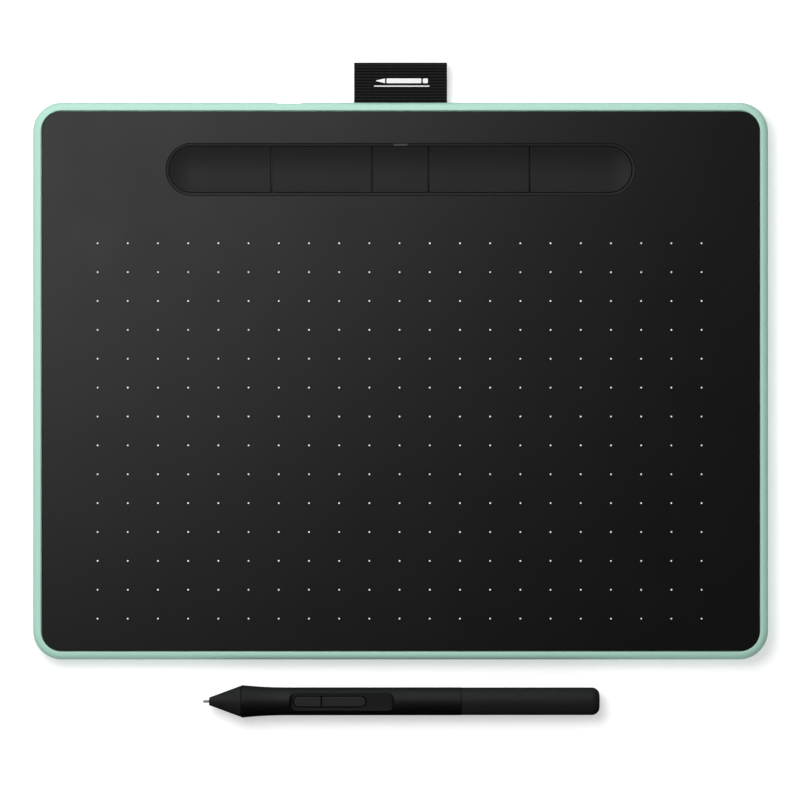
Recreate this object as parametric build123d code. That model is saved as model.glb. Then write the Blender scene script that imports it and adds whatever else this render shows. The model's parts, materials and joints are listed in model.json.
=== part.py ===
from build123d import *
import math
import os

# Pen drawing tablet with its pen, in millimetres.
# Origin: the middle of the casing, on the plane that the feet stand on.
# +X is to the user's right, +Y to the rear edge (pen loop and port), +Z up.

# ---- Casing and panel -------------------------------------------------------
CASE_LENGTH = 264.0
CASE_DEPTH = 200.0
CASE_CORNER_R = 10.4
CASE_LOW = 0.7                # underside of the casing, above the feet's plane
RIM_TOP = 8.65                # crest of the coloured rim
RIM_ROUND_TOP = 2.5
RIM_ROUND_LOW = 4.4
FLOOR_TOP = 2.3               # inside of the casing's floor
PANEL_LENGTH = 257.6
PANEL_DEPTH = 193.6
PANEL_CORNER_R = 6.75
PANEL_LOW = 7.2
PANEL_TOP = 8.8
PANEL_EDGE_ROUND = 0.3
PANEL_CLEARANCE = 0.3         # between the panel's edge and the casing's recess
CAVITY_INSET = 2.0            # width of the ledge that the panel rests on
CAVITY_CORNER_R = 5.0

# ---- Feet and casing screws -------------------------------------------------
FOOT_X = 112.0
FOOT_Y = 84.0
FOOT_LENGTH = 24.0
FOOT_WIDTH = 9.0
FOOT_TOP = 1.2
FOOT_EDGE_ROUND = 0.35
FOOT_CLEARANCE = 0.1
CASE_SCREW_X = 119.5
CASE_SCREW_Y = 84.0
SCREW_HEAD_R = 2.0
SCREW_HEAD_LOW = 1.35
SCREW_HEAD_TOP = 2.5
SCREW_SHANK_R = 1.0
SCREW_HOLE_GAP = 0.2          # round each screw's head and shank
SCREW_TIP = 6.0
SCREW_COLLAR_R = 3.6
SCREW_COLLAR_TOP = 3.1
PANEL_BOSS_R = 2.6

# ---- Moulded grid that carries the sensor -----------------------------------
RIB_WIDTH = 1.2
RIB_TOP = 5.9
RIB_ROWS = (-82.0, -56.0, -30.0, -4.0, 51.0)
RIB_COLUMNS = (-104.0, -52.0, 0.0, 52.0, 104.0)
RIB_SPAN = 208.0
LEAD_GATE_X = -41.3           # where the battery's lead crosses the rear rib
LEAD_GATE_WIDTH = 8.0
LEAD_GATE_SILL = 3.3          # what is left of the rib under the lead

# ---- Key channel ------------------------------------------------------------
CHANNEL_Y = 75.95
CHANNEL_HALF = 74.85          # half of the straight stretch of every channel outline
PANEL_HOLE_R = 9.4
BEZEL_R = 9.3
BEZEL_BORE_R = 8.4
BEZEL_LOW = 6.3
BEZEL_TOP = 8.7
BEZEL_SLOPE_WIDE = 0.75
BEZEL_SLOPE_DEEP = 0.5
OUTLINE_TOLERANCE = 0.01      # for finding the edges that lie on a channel outline
FLANGE_R = 12.0
KEY_R = 8.2
KEY_LIP_R = 9.0
KEY_LOW = 5.6
KEY_LIP_TOP = 6.1
KEY_EDGE_TOP = 8.2
TROUGH_DEPTH = 1.4
KEY_GAP = 0.4
KEY_SPLITS = (-46.4, -10.1, 10.1, 46.4)
KEY_NAMES = ("key_1", "key_2", "power_key", "key_3", "key_4")
KEY_END = 90.0                # past the round end of the outer keys
PLUNGER_R = 1.0
PLUNGER_LOW = 4.9
CARRIER_LOW = 4.75
CARRIER_TOP = 5.15
CARRIER_LENGTH = 174.0
CARRIER_DEPTH = 24.0
CARRIER_HOLE_R = 1.6
POST_R = 0.8
POST_OFFSET = 10.6
POST_X = (-75.0, -30.0, 30.0, 75.0)

# ---- Status light -----------------------------------------------------------
PIPE_LENGTH = 5.0
PIPE_WIDTH = 0.6
PIPE_Y = CHANNEL_Y + 8.85
PIPE_LOW = 4.3
PIPE_GAP = 0.3
LED_SIZE = (1.6, 0.8, 0.5)

# ---- Main board -------------------------------------------------------------
BOARD_LOW = 2.9
BOARD_TOP = 3.7
BOARD_LENGTH = 190.0
BOARD_FRONT = 59.0
BOARD_REAR = 93.0
BOARD_NOTCH_LENGTH = 44.0
BOARD_NOTCH_FRONT = 87.6
SWITCH_BODY = (3.6, 3.6, 0.6)
SWITCH_BUTTON_R = 0.9
SWITCH_BUTTON_TOP = 4.5
BOARD_SCREWS = ((-88.0, 62.0), (88.0, 62.0), (-60.0, 90.0), (60.0, 90.0))
BOARD_SCREW_R = 0.8
BOARD_SCREW_HEAD_R = 1.5
BOARD_SCREW_HEAD_TOP = 4.4
BOARD_SCREW_TIP = 1.6
BOARD_BOSS_R = 2.6
CAN_CENTRE = (46.0, 70.5)
CAN_SIZE = (16.0, 11.0, 0.95)
CAN_WALL = 0.2
CHIPS = (                     # centre X, centre Y, length, width, height
    (-46.0, 70.0, 7.0, 7.0, 0.8),
    (46.0, 70.5, 5.0, 5.0, 0.6),
    (-70.0, 66.5, 3.0, 3.0, 0.7),
    (14.0, 68.0, 5.0, 4.0, 0.7),
)
ANTENNA_CENTRE = (86.0, 89.0)
ANTENNA_SIZE = (5.0, 2.0, 1.0)

# ---- Port -------------------------------------------------------------------
PORT_X = -40.0
PORT_WIDTH = 7.6
PORT_HEIGHT = 2.5
PORT_WALL = 0.25
PORT_CORNER_R = 0.7
PORT_FRONT = 92.6
PORT_REAR = 98.5
PORT_TONGUE = (3.8, 4.2, 0.6)
PORT_OPENING_GAP = 0.2
PORT_RECESS_LENGTH = 11.4
PORT_RECESS_HEIGHT = 5.0
PORT_RECESS_FROM = 98.7

# ---- Power and sensing ------------------------------------------------------
BATTERY_CENTRE = (-62.0, 25.0)
BATTERY_SIZE = (56.0, 38.0, 3.1)
BATTERY_ROUND = 1.2
TAPE_THICK = 0.2
TAPE_INSET = 5.0              # from the cell's edges to its adhesive tape
SENSOR_LENGTH = 222.0
SENSOR_DEPTH = 142.0
SENSOR_Y = -17.8
SENSOR_LOW = 6.2
SENSOR_TOP = 7.0
SHIELD_THICK = 0.3
FLEX_WIDTH = 20.0
FLEX_THICK = 0.2
FLEX_X = 70.0
FLEX_LAND = 2.0               # straight run at each end of the ribbon
CONNECTOR_FLEX = (22.0, 4.0, 1.1)
CONNECTOR_CELL = (5.0, 3.6, 1.6)
CELL_PLUG_X = -20.0
CONNECTOR_Y = 61.3
WIRE_R = 0.5
WIRE_Z = 4.3
WIRE_OFFSET = 0.7             # each wire's distance from the lead's middle
WIRE_TURN_Y = (54.9, 53.5)    # where the left and the right wire turn along the board
WIRE_DRIFT = 1.4              # how far the lead moves back on its way along the board
WIRE_BEND = 1.5

# ---- Pen loop ---------------------------------------------------------------
LOOP_WIDTH = 33.4
LOOP_Z = 4.4                  # mid height of the tape where it leaves the casing
LOOP_TAPE = 1.1
LOOP_HINGE_Y = 101.5
LOOP_END = 114.5
LOOP_FOLD_R = 2.1
LOOP_GAP_FROM = 2.5           # from the bending line to where the two layers part
LOOP_GAP_R = 0.15
TAIL_FRONT = 88.6
SLOT_GAP = 0.25
CLAMP_LENGTH = 38.0
CLAMP_FRONT = 88.8
CLAMP_REAR = 94.6
CLAMP_THICK = 0.9
LOOP_SCREW_X = 12.0
LOOP_SCREW_HEAD_R = 1.6
LOOP_SCREW_HEAD = 0.6
LOOP_SCREW_TIP = 1.6

# ---- Pen, in its own frame: tip at the origin, axis along +X, switches up ----
PEN_TIP_X = -71.0
PEN_Y = -115.07
NIB_R = 0.5
NIB_BODY_R = 0.8
NIB_NECK = 3.2
NIB_SHOULDER = 4.0
NIB_END = 26.0
CONE_FRONT = 2.2
CONE_FRONT_R = 1.45
CONE_SEAM = 13.6
CONE_SEAM_R = 5.6
CONE_MOUTH_R = 0.6
CONE_MOUTH_END = 3.0
CONE_BORE_R = 0.95
CONE_HOLLOW_FROM = 5.0
CONE_HOLLOW_TO = 12.0
CONE_SPIGOT_R = 4.4
CONE_SPIGOT_BORE_R = 3.6
CONE_SPIGOT_END = 16.6
CONE_FIT_GAP = 0.05           # round the spigot, in the barrel's mouth
CONE_END_GAP = 0.1
RIDGE_X = 14.2
RIDGE_R = 5.85
WAIST = ((16.8, 5.62), (21.1, 5.28), (25.4, 5.1))
WAIST_START_SLOPE = -0.12
WAIST_END = 31.0
GRIP_R = 5.01
GRIP_END = 92.9
GRIP_BORE_R = 3.2
SPIGOT_R = 3.95
SPIGOT_END = 99.9
CAP_R = 4.955
CAP_BORE_R = 4.0
CAP_BORE_END = 139.5
PEN_LENGTH = 142.5
CAP_END_ROUND = 2.8
FACET_FROM = 31.9
FACET_TO = 67.8
FACET_WIDTH = 6.1
FACET_CORNER_R = 1.5
FACET_Z = 3.95
FACET_END_SLOPE = 40.0        # degrees that the flat's sides lean outwards
SWITCH_FROM = 32.6
SWITCH_TO = 58.5
SWITCH_WIDTH = 3.6
SWITCH_SPLIT = 42.6
SWITCH_SPLIT_GAP = 0.4
SWITCH_GAP = 0.2
SWITCH_TOP = 4.25
SWITCH_FLANGE = 0.55
SWITCH_FLANGE_LOW = 1.5
SWITCH_FLANGE_TOP = 1.95
SWITCH_PLUNGER_LOW = 1.15
DOME_X = (37.6, 50.6)
DOME_SIZE = (3.0, 2.6, 0.5)
DOME_BUTTON_R = 0.6
DOME_BUTTON_TOP = 0.8
CORE_R = 1.9
CORE_FROM = 9.0
CORE_TO = 21.0
COIL_R = 2.7
COIL_FROM = 12.8
COIL_TO = 20.0
CARTRIDGE_R = 2.85
CARTRIDGE_FROM = 22.5
CARTRIDGE_TO = 31.0
CARTRIDGE_BORE_TO = 27.2
CRADLE_R = 3.1
CRADLE_FROM = 17.0
CRADLE_TO = 94.5
CRADLE_TOP = -0.8
PEN_BOARD_FROM = 31.6
PEN_BOARD_TO = 90.0
PEN_BOARD_WIDTH = 5.6
CADDY_PLUG_FROM = 95.0
CADDY_PLUG_R = 3.1
CADDY_R = 3.6
CADDY_TO = 124.0
SPARE_NIB_R = 0.8
SPARE_NIB_RING = 1.9
SPARE_NIB_FROM = 104.0
SPARE_NIB_TO = 127.0


# ---- Shared shapes ----------------------------------------------------------
def slab(outline, low, high):
    """Plate of the given outline between two heights."""
    return extrude(Pos(0, 0, low) * outline, high - low)


def block(centre, size, low):
    """Box on the given level, by its middle and its length, width and height."""
    length, width, height = size
    return slab(Pos(centre[0], centre[1]) * Rectangle(length, width), low, low + height)


def peg(centre, radius, low, high):
    """Upright round peg or hole."""
    return slab(Pos(centre[0], centre[1]) * Circle(radius), low, high)


def pill(radius):
    """Outline concentric with the key channel, with the given end radius."""
    return Pos(0, CHANNEL_Y) * SlotOverall(2 * (CHANNEL_HALF + radius), 2 * radius)


def tube_x(radius, start, end):
    """Round bar along the pen's axis."""
    return Pos((start + end) / 2, 0, 0) * Rot(0, 90, 0) * Cylinder(radius, end - start)


def turned(*points):
    """Body turned about the pen's axis from its half outline of (x, radius) points."""
    return revolve(Plane.XZ * make_face(Polyline(*points, close=True)), Axis.X)


def corners(x, y):
    """The four places that mirror one another about both middle lines."""
    return [(sx * x, sy * y) for sy in (-1, 1) for sx in (-1, 1)]


# ---- Casing -----------------------------------------------------------------
def foot_outline(grow=0.0):
    return SlotOverall(FOOT_LENGTH + 2 * grow, FOOT_WIDTH + 2 * grow)


def rear_opening(outline, start, end):
    """Tool that opens the rear wall behind the port, between two depths."""
    return Pos(PORT_X, end, port_centre_z()) * extrude(Plane.XZ * outline, end - start)


def port_centre_z():
    return BOARD_TOP + PORT_HEIGHT / 2


def port_outline(grow):
    """Outline of the port's shell, grown or shrunk all round."""
    size = (PORT_WIDTH + 2 * grow, PORT_HEIGHT + 2 * grow)
    return RectangleRounded(*size, PORT_CORNER_R + grow)


def casing_shell():
    """The coloured tray: floor, walls, rounded rim and the panel's ledge."""
    outline = RectangleRounded(CASE_LENGTH, CASE_DEPTH, CASE_CORNER_R)
    tray = slab(outline, CASE_LOW, RIM_TOP)
    tray = fillet(tray.edges().group_by(Axis.Z)[-1], RIM_ROUND_TOP)
    tray = fillet(tray.edges().group_by(Axis.Z)[0], RIM_ROUND_LOW)
    recess_length = PANEL_LENGTH + 2 * PANEL_CLEARANCE
    recess_depth = PANEL_DEPTH + 2 * PANEL_CLEARANCE
    recess = RectangleRounded(recess_length, recess_depth, PANEL_CORNER_R + PANEL_CLEARANCE)
    cavity = RectangleRounded(
        recess_length - 2 * CAVITY_INSET, recess_depth - 2 * CAVITY_INSET, CAVITY_CORNER_R
    )
    tray -= slab(recess, PANEL_LOW, PANEL_TOP)
    tray -= slab(cavity, FLOOR_TOP, PANEL_TOP)
    return tray


def support_grid():
    """Loose moulded grid under the sensor, left open round the battery and its lead."""
    grid = Part()
    height = RIB_TOP - FLOOR_TOP
    front = RIB_ROWS[0]
    for y in RIB_ROWS:
        grid += block((0, y), (RIB_SPAN + RIB_WIDTH, RIB_WIDTH, height), FLOOR_TOP)
    for x in RIB_COLUMNS:
        rear = RIB_ROWS[-1] if abs(x) == RIB_SPAN / 2 else RIB_ROWS[-2]
        grid += block((x, (rear + front) / 2), (RIB_WIDTH, rear - front, height), FLOOR_TOP)
    gate = (LEAD_GATE_WIDTH, 2 * RIB_WIDTH, RIB_TOP - LEAD_GATE_SILL)
    return grid - block((LEAD_GATE_X, RIB_ROWS[-1]), gate, LEAD_GATE_SILL)


def bottom_case():
    tray = casing_shell()
    for centre in BOARD_SCREWS:
        tray += peg(centre, BOARD_BOSS_R, FLOOR_TOP, BOARD_LOW)
    clamp_middle = (CLAMP_FRONT + CLAMP_REAR) / 2
    bridge = (CLAMP_LENGTH, CLAMP_REAR - CLAMP_FRONT, LOOP_Z - LOOP_TAPE - FLOOR_TOP)
    tray += block((0, clamp_middle), bridge, FLOOR_TOP)
    for centre in corners(CASE_SCREW_X, CASE_SCREW_Y):
        tray += peg(centre, SCREW_COLLAR_R, FLOOR_TOP, SCREW_COLLAR_TOP)
        tray -= peg(centre, SCREW_HEAD_R + SCREW_HOLE_GAP, CASE_LOW, SCREW_HEAD_TOP)
        tray -= peg(centre, SCREW_SHANK_R + SCREW_HOLE_GAP, CASE_LOW, SCREW_COLLAR_TOP)
    for x, y in corners(FOOT_X, FOOT_Y):
        tray -= slab(Pos(x, y) * foot_outline(FOOT_CLEARANCE), CASE_LOW, FOOT_TOP)
    for centre in BOARD_SCREWS:
        tray -= peg(centre, BOARD_SCREW_R, BOARD_SCREW_TIP, BOARD_LOW)
    for x in (-LOOP_SCREW_X, LOOP_SCREW_X):
        tray -= peg((x, clamp_middle), BOARD_SCREW_R, LOOP_SCREW_TIP, LOOP_Z - LOOP_TAPE)
    cavity_rear = PANEL_DEPTH / 2 + PANEL_CLEARANCE - CAVITY_INSET
    rear = CASE_DEPTH / 2
    slot_length = LOOP_WIDTH + 2 * SLOT_GAP
    slot_height = 2 * LOOP_TAPE + 2 * SLOT_GAP
    slot = Box(slot_length, rear - cavity_rear, slot_height)
    tray -= Pos(0, (rear + cavity_rear) / 2, LOOP_Z) * slot
    tray -= rear_opening(port_outline(PORT_OPENING_GAP), cavity_rear, rear)
    recess = SlotOverall(PORT_RECESS_LENGTH, PORT_RECESS_HEIGHT)
    tray -= rear_opening(recess, PORT_RECESS_FROM, rear)
    return tray


def top_panel():
    """The black work surface, with the channel's hole and its four screw bosses."""
    outline = RectangleRounded(PANEL_LENGTH, PANEL_DEPTH, PANEL_CORNER_R)
    panel = slab(outline, PANEL_LOW, PANEL_TOP)
    panel = fillet(panel.edges().group_by(Axis.Z)[-1], PANEL_EDGE_ROUND)
    panel -= slab(pill(PANEL_HOLE_R), PANEL_LOW, PANEL_TOP)
    for centre in corners(CASE_SCREW_X, CASE_SCREW_Y):
        panel += peg(centre, PANEL_BOSS_R, SCREW_COLLAR_TOP, PANEL_LOW)
        panel -= peg(centre, SCREW_SHANK_R, SCREW_COLLAR_TOP, SCREW_TIP)
    return panel


def foot():
    pad = slab(foot_outline(), 0, FOOT_TOP)
    return fillet(pad.edges().group_by(Axis.Z)[0], FOOT_EDGE_ROUND)


def case_screws():
    screws = []
    for centre in corners(CASE_SCREW_X, CASE_SCREW_Y):
        screw = peg(centre, SCREW_HEAD_R, SCREW_HEAD_LOW, SCREW_HEAD_TOP)
        screw += peg(centre, SCREW_SHANK_R, SCREW_HEAD_TOP, SCREW_TIP)
        screws.append(screw)
    return Compound(children=screws)


# ---- Key channel ------------------------------------------------------------
def bezel_ring():
    """The channel's wall, with the sloping face that shows round the keys."""
    ring = slab(pill(BEZEL_R) - pill(BEZEL_BORE_R), BEZEL_LOW, BEZEL_TOP)
    slope = [edge for edge in ring.edges().group_by(Axis.Z)[-1] if on_pill(edge, BEZEL_BORE_R)]
    return chamfer(slope, BEZEL_SLOPE_WIDE, BEZEL_SLOPE_DEEP)


def on_pill(edge, radius):
    """Whether an edge lies on the channel outline of this radius, by its middle point."""
    middle = edge @ 0.5
    beyond = max(abs(middle.X) - CHANNEL_HALF, 0)
    return abs(math.hypot(beyond, middle.Y - CHANNEL_Y) - radius) < OUTLINE_TOLERANCE


def pipe_slot(low, high):
    return block((0, PIPE_Y), (PIPE_LENGTH, PIPE_WIDTH, high - low), low)


def key_bezel():
    bezel = bezel_ring()
    bezel += slab(pill(FLANGE_R) - pill(BEZEL_BORE_R), BEZEL_LOW, PANEL_LOW)
    for x in POST_X:
        for side in (-1, 1):
            bezel += peg((x, CHANNEL_Y + side * POST_OFFSET), POST_R, CARRIER_TOP, BEZEL_LOW)
    return bezel - pipe_slot(BEZEL_LOW, BEZEL_TOP)


def led_light_pipe():
    window = bezel_ring() & pipe_slot(BEZEL_LOW, BEZEL_TOP)
    return window + pipe_slot(PIPE_LOW, BEZEL_LOW)


def trough():
    """Hollow that the keys' tops form together, for the pen to lie in."""
    radius = (KEY_R**2 + TROUGH_DEPTH**2) / (2 * TROUGH_DEPTH)
    height = KEY_EDGE_TOP - TROUGH_DEPTH + radius
    middle = Pos(0, CHANNEL_Y, height) * Rot(0, 90, 0) * Cylinder(radius, 2 * CHANNEL_HALF)
    ends = [Pos(side * CHANNEL_HALF, CHANNEL_Y, height) * Sphere(radius) for side in (-1, 1)]
    return middle, ends


def key_centre(start, end):
    """Middle of a key's top, where its plunger stands over its switch."""
    reach = CHANNEL_HALF + KEY_R
    return (max(start, -reach) + min(end, reach)) / 2, CHANNEL_Y


def key_spans():
    cuts = (-KEY_END, *KEY_SPLITS, KEY_END)
    half = KEY_GAP / 2
    return [(low + half, high - half) for low, high in zip(cuts, cuts[1:])]


def key(start, end):
    """One key: its hollowed top, the lip that holds it in and its plunger."""
    middle, ends = trough()
    body = slab(pill(KEY_R), KEY_LOW, KEY_EDGE_TOP)
    body += slab(pill(KEY_LIP_R), KEY_LOW, KEY_LIP_TOP)
    width = end - start
    window = ((start + end) / 2, CHANNEL_Y)
    body &= block(window, (width, 2 * KEY_LIP_R, KEY_EDGE_TOP - KEY_LOW), KEY_LOW)
    body -= middle
    if end > CHANNEL_HALF:
        body -= ends[1]
    if start < -CHANNEL_HALF:
        body -= ends[0]
    return body + peg(key_centre(start, end), PLUNGER_R, PLUNGER_LOW, KEY_LOW)


def power_key():
    """The middle key, whose lip is cut back for the light pipe behind it."""
    start, end = key_spans()[KEY_NAMES.index("power_key")]
    room = (PIPE_LENGTH + 2 * PIPE_GAP, PIPE_WIDTH + 2 * PIPE_GAP, KEY_LIP_TOP - KEY_LOW)
    return key(start, end) - block((0, PIPE_Y), room, KEY_LOW)


def key_carrier():
    """Plate under the keys, hung from the bezel's posts."""
    plate = Pos(0, CHANNEL_Y) * RectangleRounded(CARRIER_LENGTH, CARRIER_DEPTH, CARRIER_HOLE_R)
    carrier = slab(plate, CARRIER_LOW, CARRIER_TOP)
    for start, end in key_spans():
        carrier -= peg(key_centre(start, end), CARRIER_HOLE_R, CARRIER_LOW, CARRIER_TOP)
    slot = (PIPE_LENGTH + 2 * PIPE_GAP, PIPE_WIDTH + 2 * PIPE_GAP, CARRIER_TOP - CARRIER_LOW)
    return carrier - block((0, PIPE_Y), slot, CARRIER_LOW)


# ---- Main board and what is on it -------------------------------------------
def main_board():
    middle = (BOARD_FRONT + BOARD_REAR) / 2
    size = (BOARD_LENGTH, BOARD_REAR - BOARD_FRONT, BOARD_TOP - BOARD_LOW)
    board = block((0, middle), size, BOARD_LOW)
    notch_middle = (BOARD_NOTCH_FRONT + BOARD_REAR) / 2
    notch = (BOARD_NOTCH_LENGTH, BOARD_REAR - BOARD_NOTCH_FRONT, BOARD_TOP - BOARD_LOW)
    board -= block((0, notch_middle), notch, BOARD_LOW)
    for centre in BOARD_SCREWS:
        board -= peg(centre, BOARD_SCREW_R, BOARD_LOW, BOARD_TOP)
    return board


def board_screws():
    screws = []
    for centre in BOARD_SCREWS:
        screw = peg(centre, BOARD_SCREW_HEAD_R, BOARD_TOP, BOARD_SCREW_HEAD_TOP)
        screw += peg(centre, BOARD_SCREW_R, BOARD_SCREW_TIP, BOARD_TOP)
        screws.append(screw)
    return Compound(children=screws)


def key_switches():
    switches = []
    for start, end in key_spans():
        centre = key_centre(start, end)
        switch = block(centre, SWITCH_BODY, BOARD_TOP)
        switch += peg(centre, SWITCH_BUTTON_R, BOARD_TOP, SWITCH_BUTTON_TOP)
        switches.append(switch)
    return Compound(children=switches)


def board_chips():
    chips = [block((x, y), (length, width, height), BOARD_TOP) for x, y, length, width, height in CHIPS]
    return Compound(children=chips)


def shield_can():
    length, width, height = CAN_SIZE
    can = block(CAN_CENTRE, CAN_SIZE, BOARD_TOP)
    hollow = (length - 2 * CAN_WALL, width - 2 * CAN_WALL, height - CAN_WALL)
    return can - block(CAN_CENTRE, hollow, BOARD_TOP)


def status_led():
    return block((0, PIPE_Y), LED_SIZE, BOARD_TOP)


def antenna():
    return block(ANTENNA_CENTRE, ANTENNA_SIZE, BOARD_TOP)


def board_connectors():
    """Socket of the sensor's ribbon and socket of the battery's lead."""
    ribbon = block((FLEX_X, CONNECTOR_Y), CONNECTOR_FLEX, BOARD_TOP)
    cell = block((CELL_PLUG_X, CONNECTOR_Y), CONNECTOR_CELL, BOARD_TOP)
    return Compound(children=[ribbon, cell])


def usb_shell():
    """Folded steel shell of the port, open at the rear."""
    depth = PORT_REAR - PORT_FRONT
    shell = extrude(Plane.XZ * port_outline(0), depth)
    shell -= extrude(Plane.XZ * port_outline(-PORT_WALL), depth - PORT_WALL)
    return Pos(PORT_X, PORT_REAR, port_centre_z()) * shell


def usb_tongue():
    """Contact blade inside the port, standing on the shell's back wall."""
    length, reach, height = PORT_TONGUE
    start = PORT_FRONT + PORT_WALL
    return Pos(PORT_X, start + reach / 2, port_centre_z()) * Box(length, reach, height)


# ---- Battery, lead and sensor -----------------------------------------------
def battery_tape():
    length, width, _ = BATTERY_SIZE
    size = (length - 2 * TAPE_INSET, width - 2 * TAPE_INSET, TAPE_THICK)
    return block(BATTERY_CENTRE, size, FLOOR_TOP)


def battery():
    cell = block(BATTERY_CENTRE, BATTERY_SIZE, FLOOR_TOP + TAPE_THICK)
    return fillet(cell.edges(), BATTERY_ROUND)


def wire(points, bend):
    """Round wire along straight runs joined by tangent arcs."""
    path = FilletPolyline(*points, radius=bend)
    start = Plane(origin=path @ 0, z_dir=path % 0)
    return sweep(start * Circle(WIRE_R), path=path)


def battery_lead():
    """Two wires from the cell's rear edge to its socket on the main board."""
    rear = BATTERY_CENTRE[1] + BATTERY_SIZE[1] / 2
    plug = CONNECTOR_Y - CONNECTOR_CELL[1] / 2
    wires = []
    for side, turn_y in zip((-1, 1), WIRE_TURN_Y):
        gate_x = LEAD_GATE_X + side * WIRE_OFFSET
        plug_x = CELL_PLUG_X + side * WIRE_OFFSET
        route = ((gate_x, rear), (gate_x, turn_y), (plug_x, turn_y + WIRE_DRIFT), (plug_x, plug))
        wires.append(wire([(x, y, WIRE_Z) for x, y in route], WIRE_BEND))
    return Compound(children=wires)


def sensor_outline():
    return Pos(0, SENSOR_Y) * Rectangle(SENSOR_LENGTH, SENSOR_DEPTH)


def sensor_flex():
    """Ribbon from the sensor's rear edge down to its socket."""
    rear = SENSOR_Y + SENSOR_DEPTH / 2
    socket = CONNECTOR_Y - CONNECTOR_FLEX[1] / 2
    high = SENSOR_LOW + FLEX_THICK / 2
    low = BOARD_TOP + CONNECTOR_FLEX[2] / 2
    half = FLEX_THICK / 2
    bend = (rear + FLEX_LAND, socket - FLEX_LAND)
    top = ((rear, high + half), (bend[0] + half, high + half), (bend[1] + half, low + half))
    bottom = ((bend[1] - half, low - half), (bend[0] - half, high - half), (rear, high - half))
    outline = Polyline(*top, (socket, low + half), (socket, low - half), *bottom, close=True)
    ribbon = extrude(Plane.YZ * make_face(outline), FLEX_WIDTH / 2, both=True)
    return Pos(FLEX_X, 0, 0) * ribbon


# ---- Pen loop ---------------------------------------------------------------
def loop_outline(root_y, root_r, fold_r):
    """Side outline that runs from a small round root to the round fold."""
    fold = LOOP_END - LOOP_FOLD_R
    run = fold - root_y
    lean = math.asin((fold_r - root_r) / run)
    along, across = math.sin(lean), math.cos(lean)
    root_top = (root_y - root_r * along, LOOP_Z + root_r * across)
    fold_top = (fold - fold_r * along, LOOP_Z + fold_r * across)
    fold_low = (fold - fold_r * along, LOOP_Z - fold_r * across)
    root_low = (root_y - root_r * along, LOOP_Z - root_r * across)
    outline = Line(root_top, fold_top)
    outline += ThreePointArc(fold_top, (fold + fold_r, LOOP_Z), fold_low)
    outline += Line(fold_low, root_low)
    outline += ThreePointArc(root_low, (root_y - root_r, LOOP_Z), root_top)
    return make_face(outline)


def pen_loop():
    """The folded tape outside the casing, rounded about its bending line."""
    skin = loop_outline(LOOP_HINGE_Y, LOOP_TAPE, LOOP_FOLD_R)
    gap = loop_outline(LOOP_HINGE_Y + LOOP_GAP_FROM, LOOP_GAP_R, LOOP_FOLD_R - LOOP_TAPE)
    return extrude(Plane.YZ * (skin - gap), LOOP_WIDTH / 2, both=True)


def pen_loop_tail():
    """The two layers of tape that the clamp holds inside the casing."""
    rear = CASE_DEPTH / 2
    size = (LOOP_WIDTH, rear - TAIL_FRONT, 2 * LOOP_TAPE)
    tail = block((0, (rear + TAIL_FRONT) / 2), size, LOOP_Z - LOOP_TAPE)
    for x in (-LOOP_SCREW_X, LOOP_SCREW_X):
        centre = (x, (CLAMP_FRONT + CLAMP_REAR) / 2)
        tail -= peg(centre, BOARD_SCREW_R, LOOP_Z - LOOP_TAPE, LOOP_Z + LOOP_TAPE)
    return tail


def loop_clamp():
    middle = (CLAMP_FRONT + CLAMP_REAR) / 2
    low = LOOP_Z + LOOP_TAPE
    bar = block((0, middle), (CLAMP_LENGTH, CLAMP_REAR - CLAMP_FRONT, CLAMP_THICK), low)
    for x in (-LOOP_SCREW_X, LOOP_SCREW_X):
        bar -= peg((x, middle), BOARD_SCREW_R, low, low + CLAMP_THICK)
    return bar


def loop_screws():
    middle = (CLAMP_FRONT + CLAMP_REAR) / 2
    head = LOOP_Z + LOOP_TAPE + CLAMP_THICK
    screws = []
    for x in (-LOOP_SCREW_X, LOOP_SCREW_X):
        screw = peg((x, middle), LOOP_SCREW_HEAD_R, head, head + LOOP_SCREW_HEAD)
        screw += peg((x, middle), BOARD_SCREW_R, LOOP_SCREW_TIP, head)
        screws.append(screw)
    return Compound(children=screws)


# ---- Pen --------------------------------------------------------------------
def pen_place():
    """Where the pen lies: on its ridge and on the end of its rear barrel."""
    rear = PEN_LENGTH - CAP_END_ROUND
    tilt = math.atan((RIDGE_R - CAP_R) / (rear - RIDGE_X))
    tip_z = RIDGE_X * math.sin(tilt) + RIDGE_R * math.cos(tilt)
    return Pos(PEN_TIP_X, PEN_Y, tip_z) * Rot(0, math.degrees(tilt), 0)


def nib():
    body = turned((NIB_R, 0), (NIB_R, NIB_R), (NIB_NECK, NIB_R), (NIB_SHOULDER, NIB_BODY_R),
                  (NIB_END, NIB_BODY_R), (NIB_END, 0))
    return body + Pos(NIB_R, 0, 0) * Sphere(NIB_R)


def nib_cone():
    outside = turned((CONE_FRONT, 0), (CONE_FRONT, CONE_FRONT_R), (CONE_SEAM, CONE_SEAM_R),
                     (CONE_SEAM, CONE_SPIGOT_R), (CONE_SPIGOT_END, CONE_SPIGOT_R),
                     (CONE_SPIGOT_END, 0))
    inside = turned((CONE_FRONT, 0), (CONE_FRONT, CONE_MOUTH_R), (CONE_MOUTH_END, CONE_MOUTH_R),
                    (CONE_MOUTH_END, CONE_BORE_R), (CONE_HOLLOW_FROM, CONE_BORE_R),
                    (CONE_HOLLOW_TO, CONE_SPIGOT_BORE_R), (CONE_SPIGOT_END, CONE_SPIGOT_BORE_R),
                    (CONE_SPIGOT_END, 0))
    return outside - inside


def facet_tool():
    """Shallow flat with sloping ends on top of the grip, round the switches."""
    length = FACET_TO - FACET_FROM
    middle = (FACET_TO + FACET_FROM) / 2
    outline = Pos(middle, 0, FACET_Z) * RectangleRounded(length, FACET_WIDTH, FACET_CORNER_R)
    return extrude(outline, RIDGE_R - FACET_Z, taper=-FACET_END_SLOPE)


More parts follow.
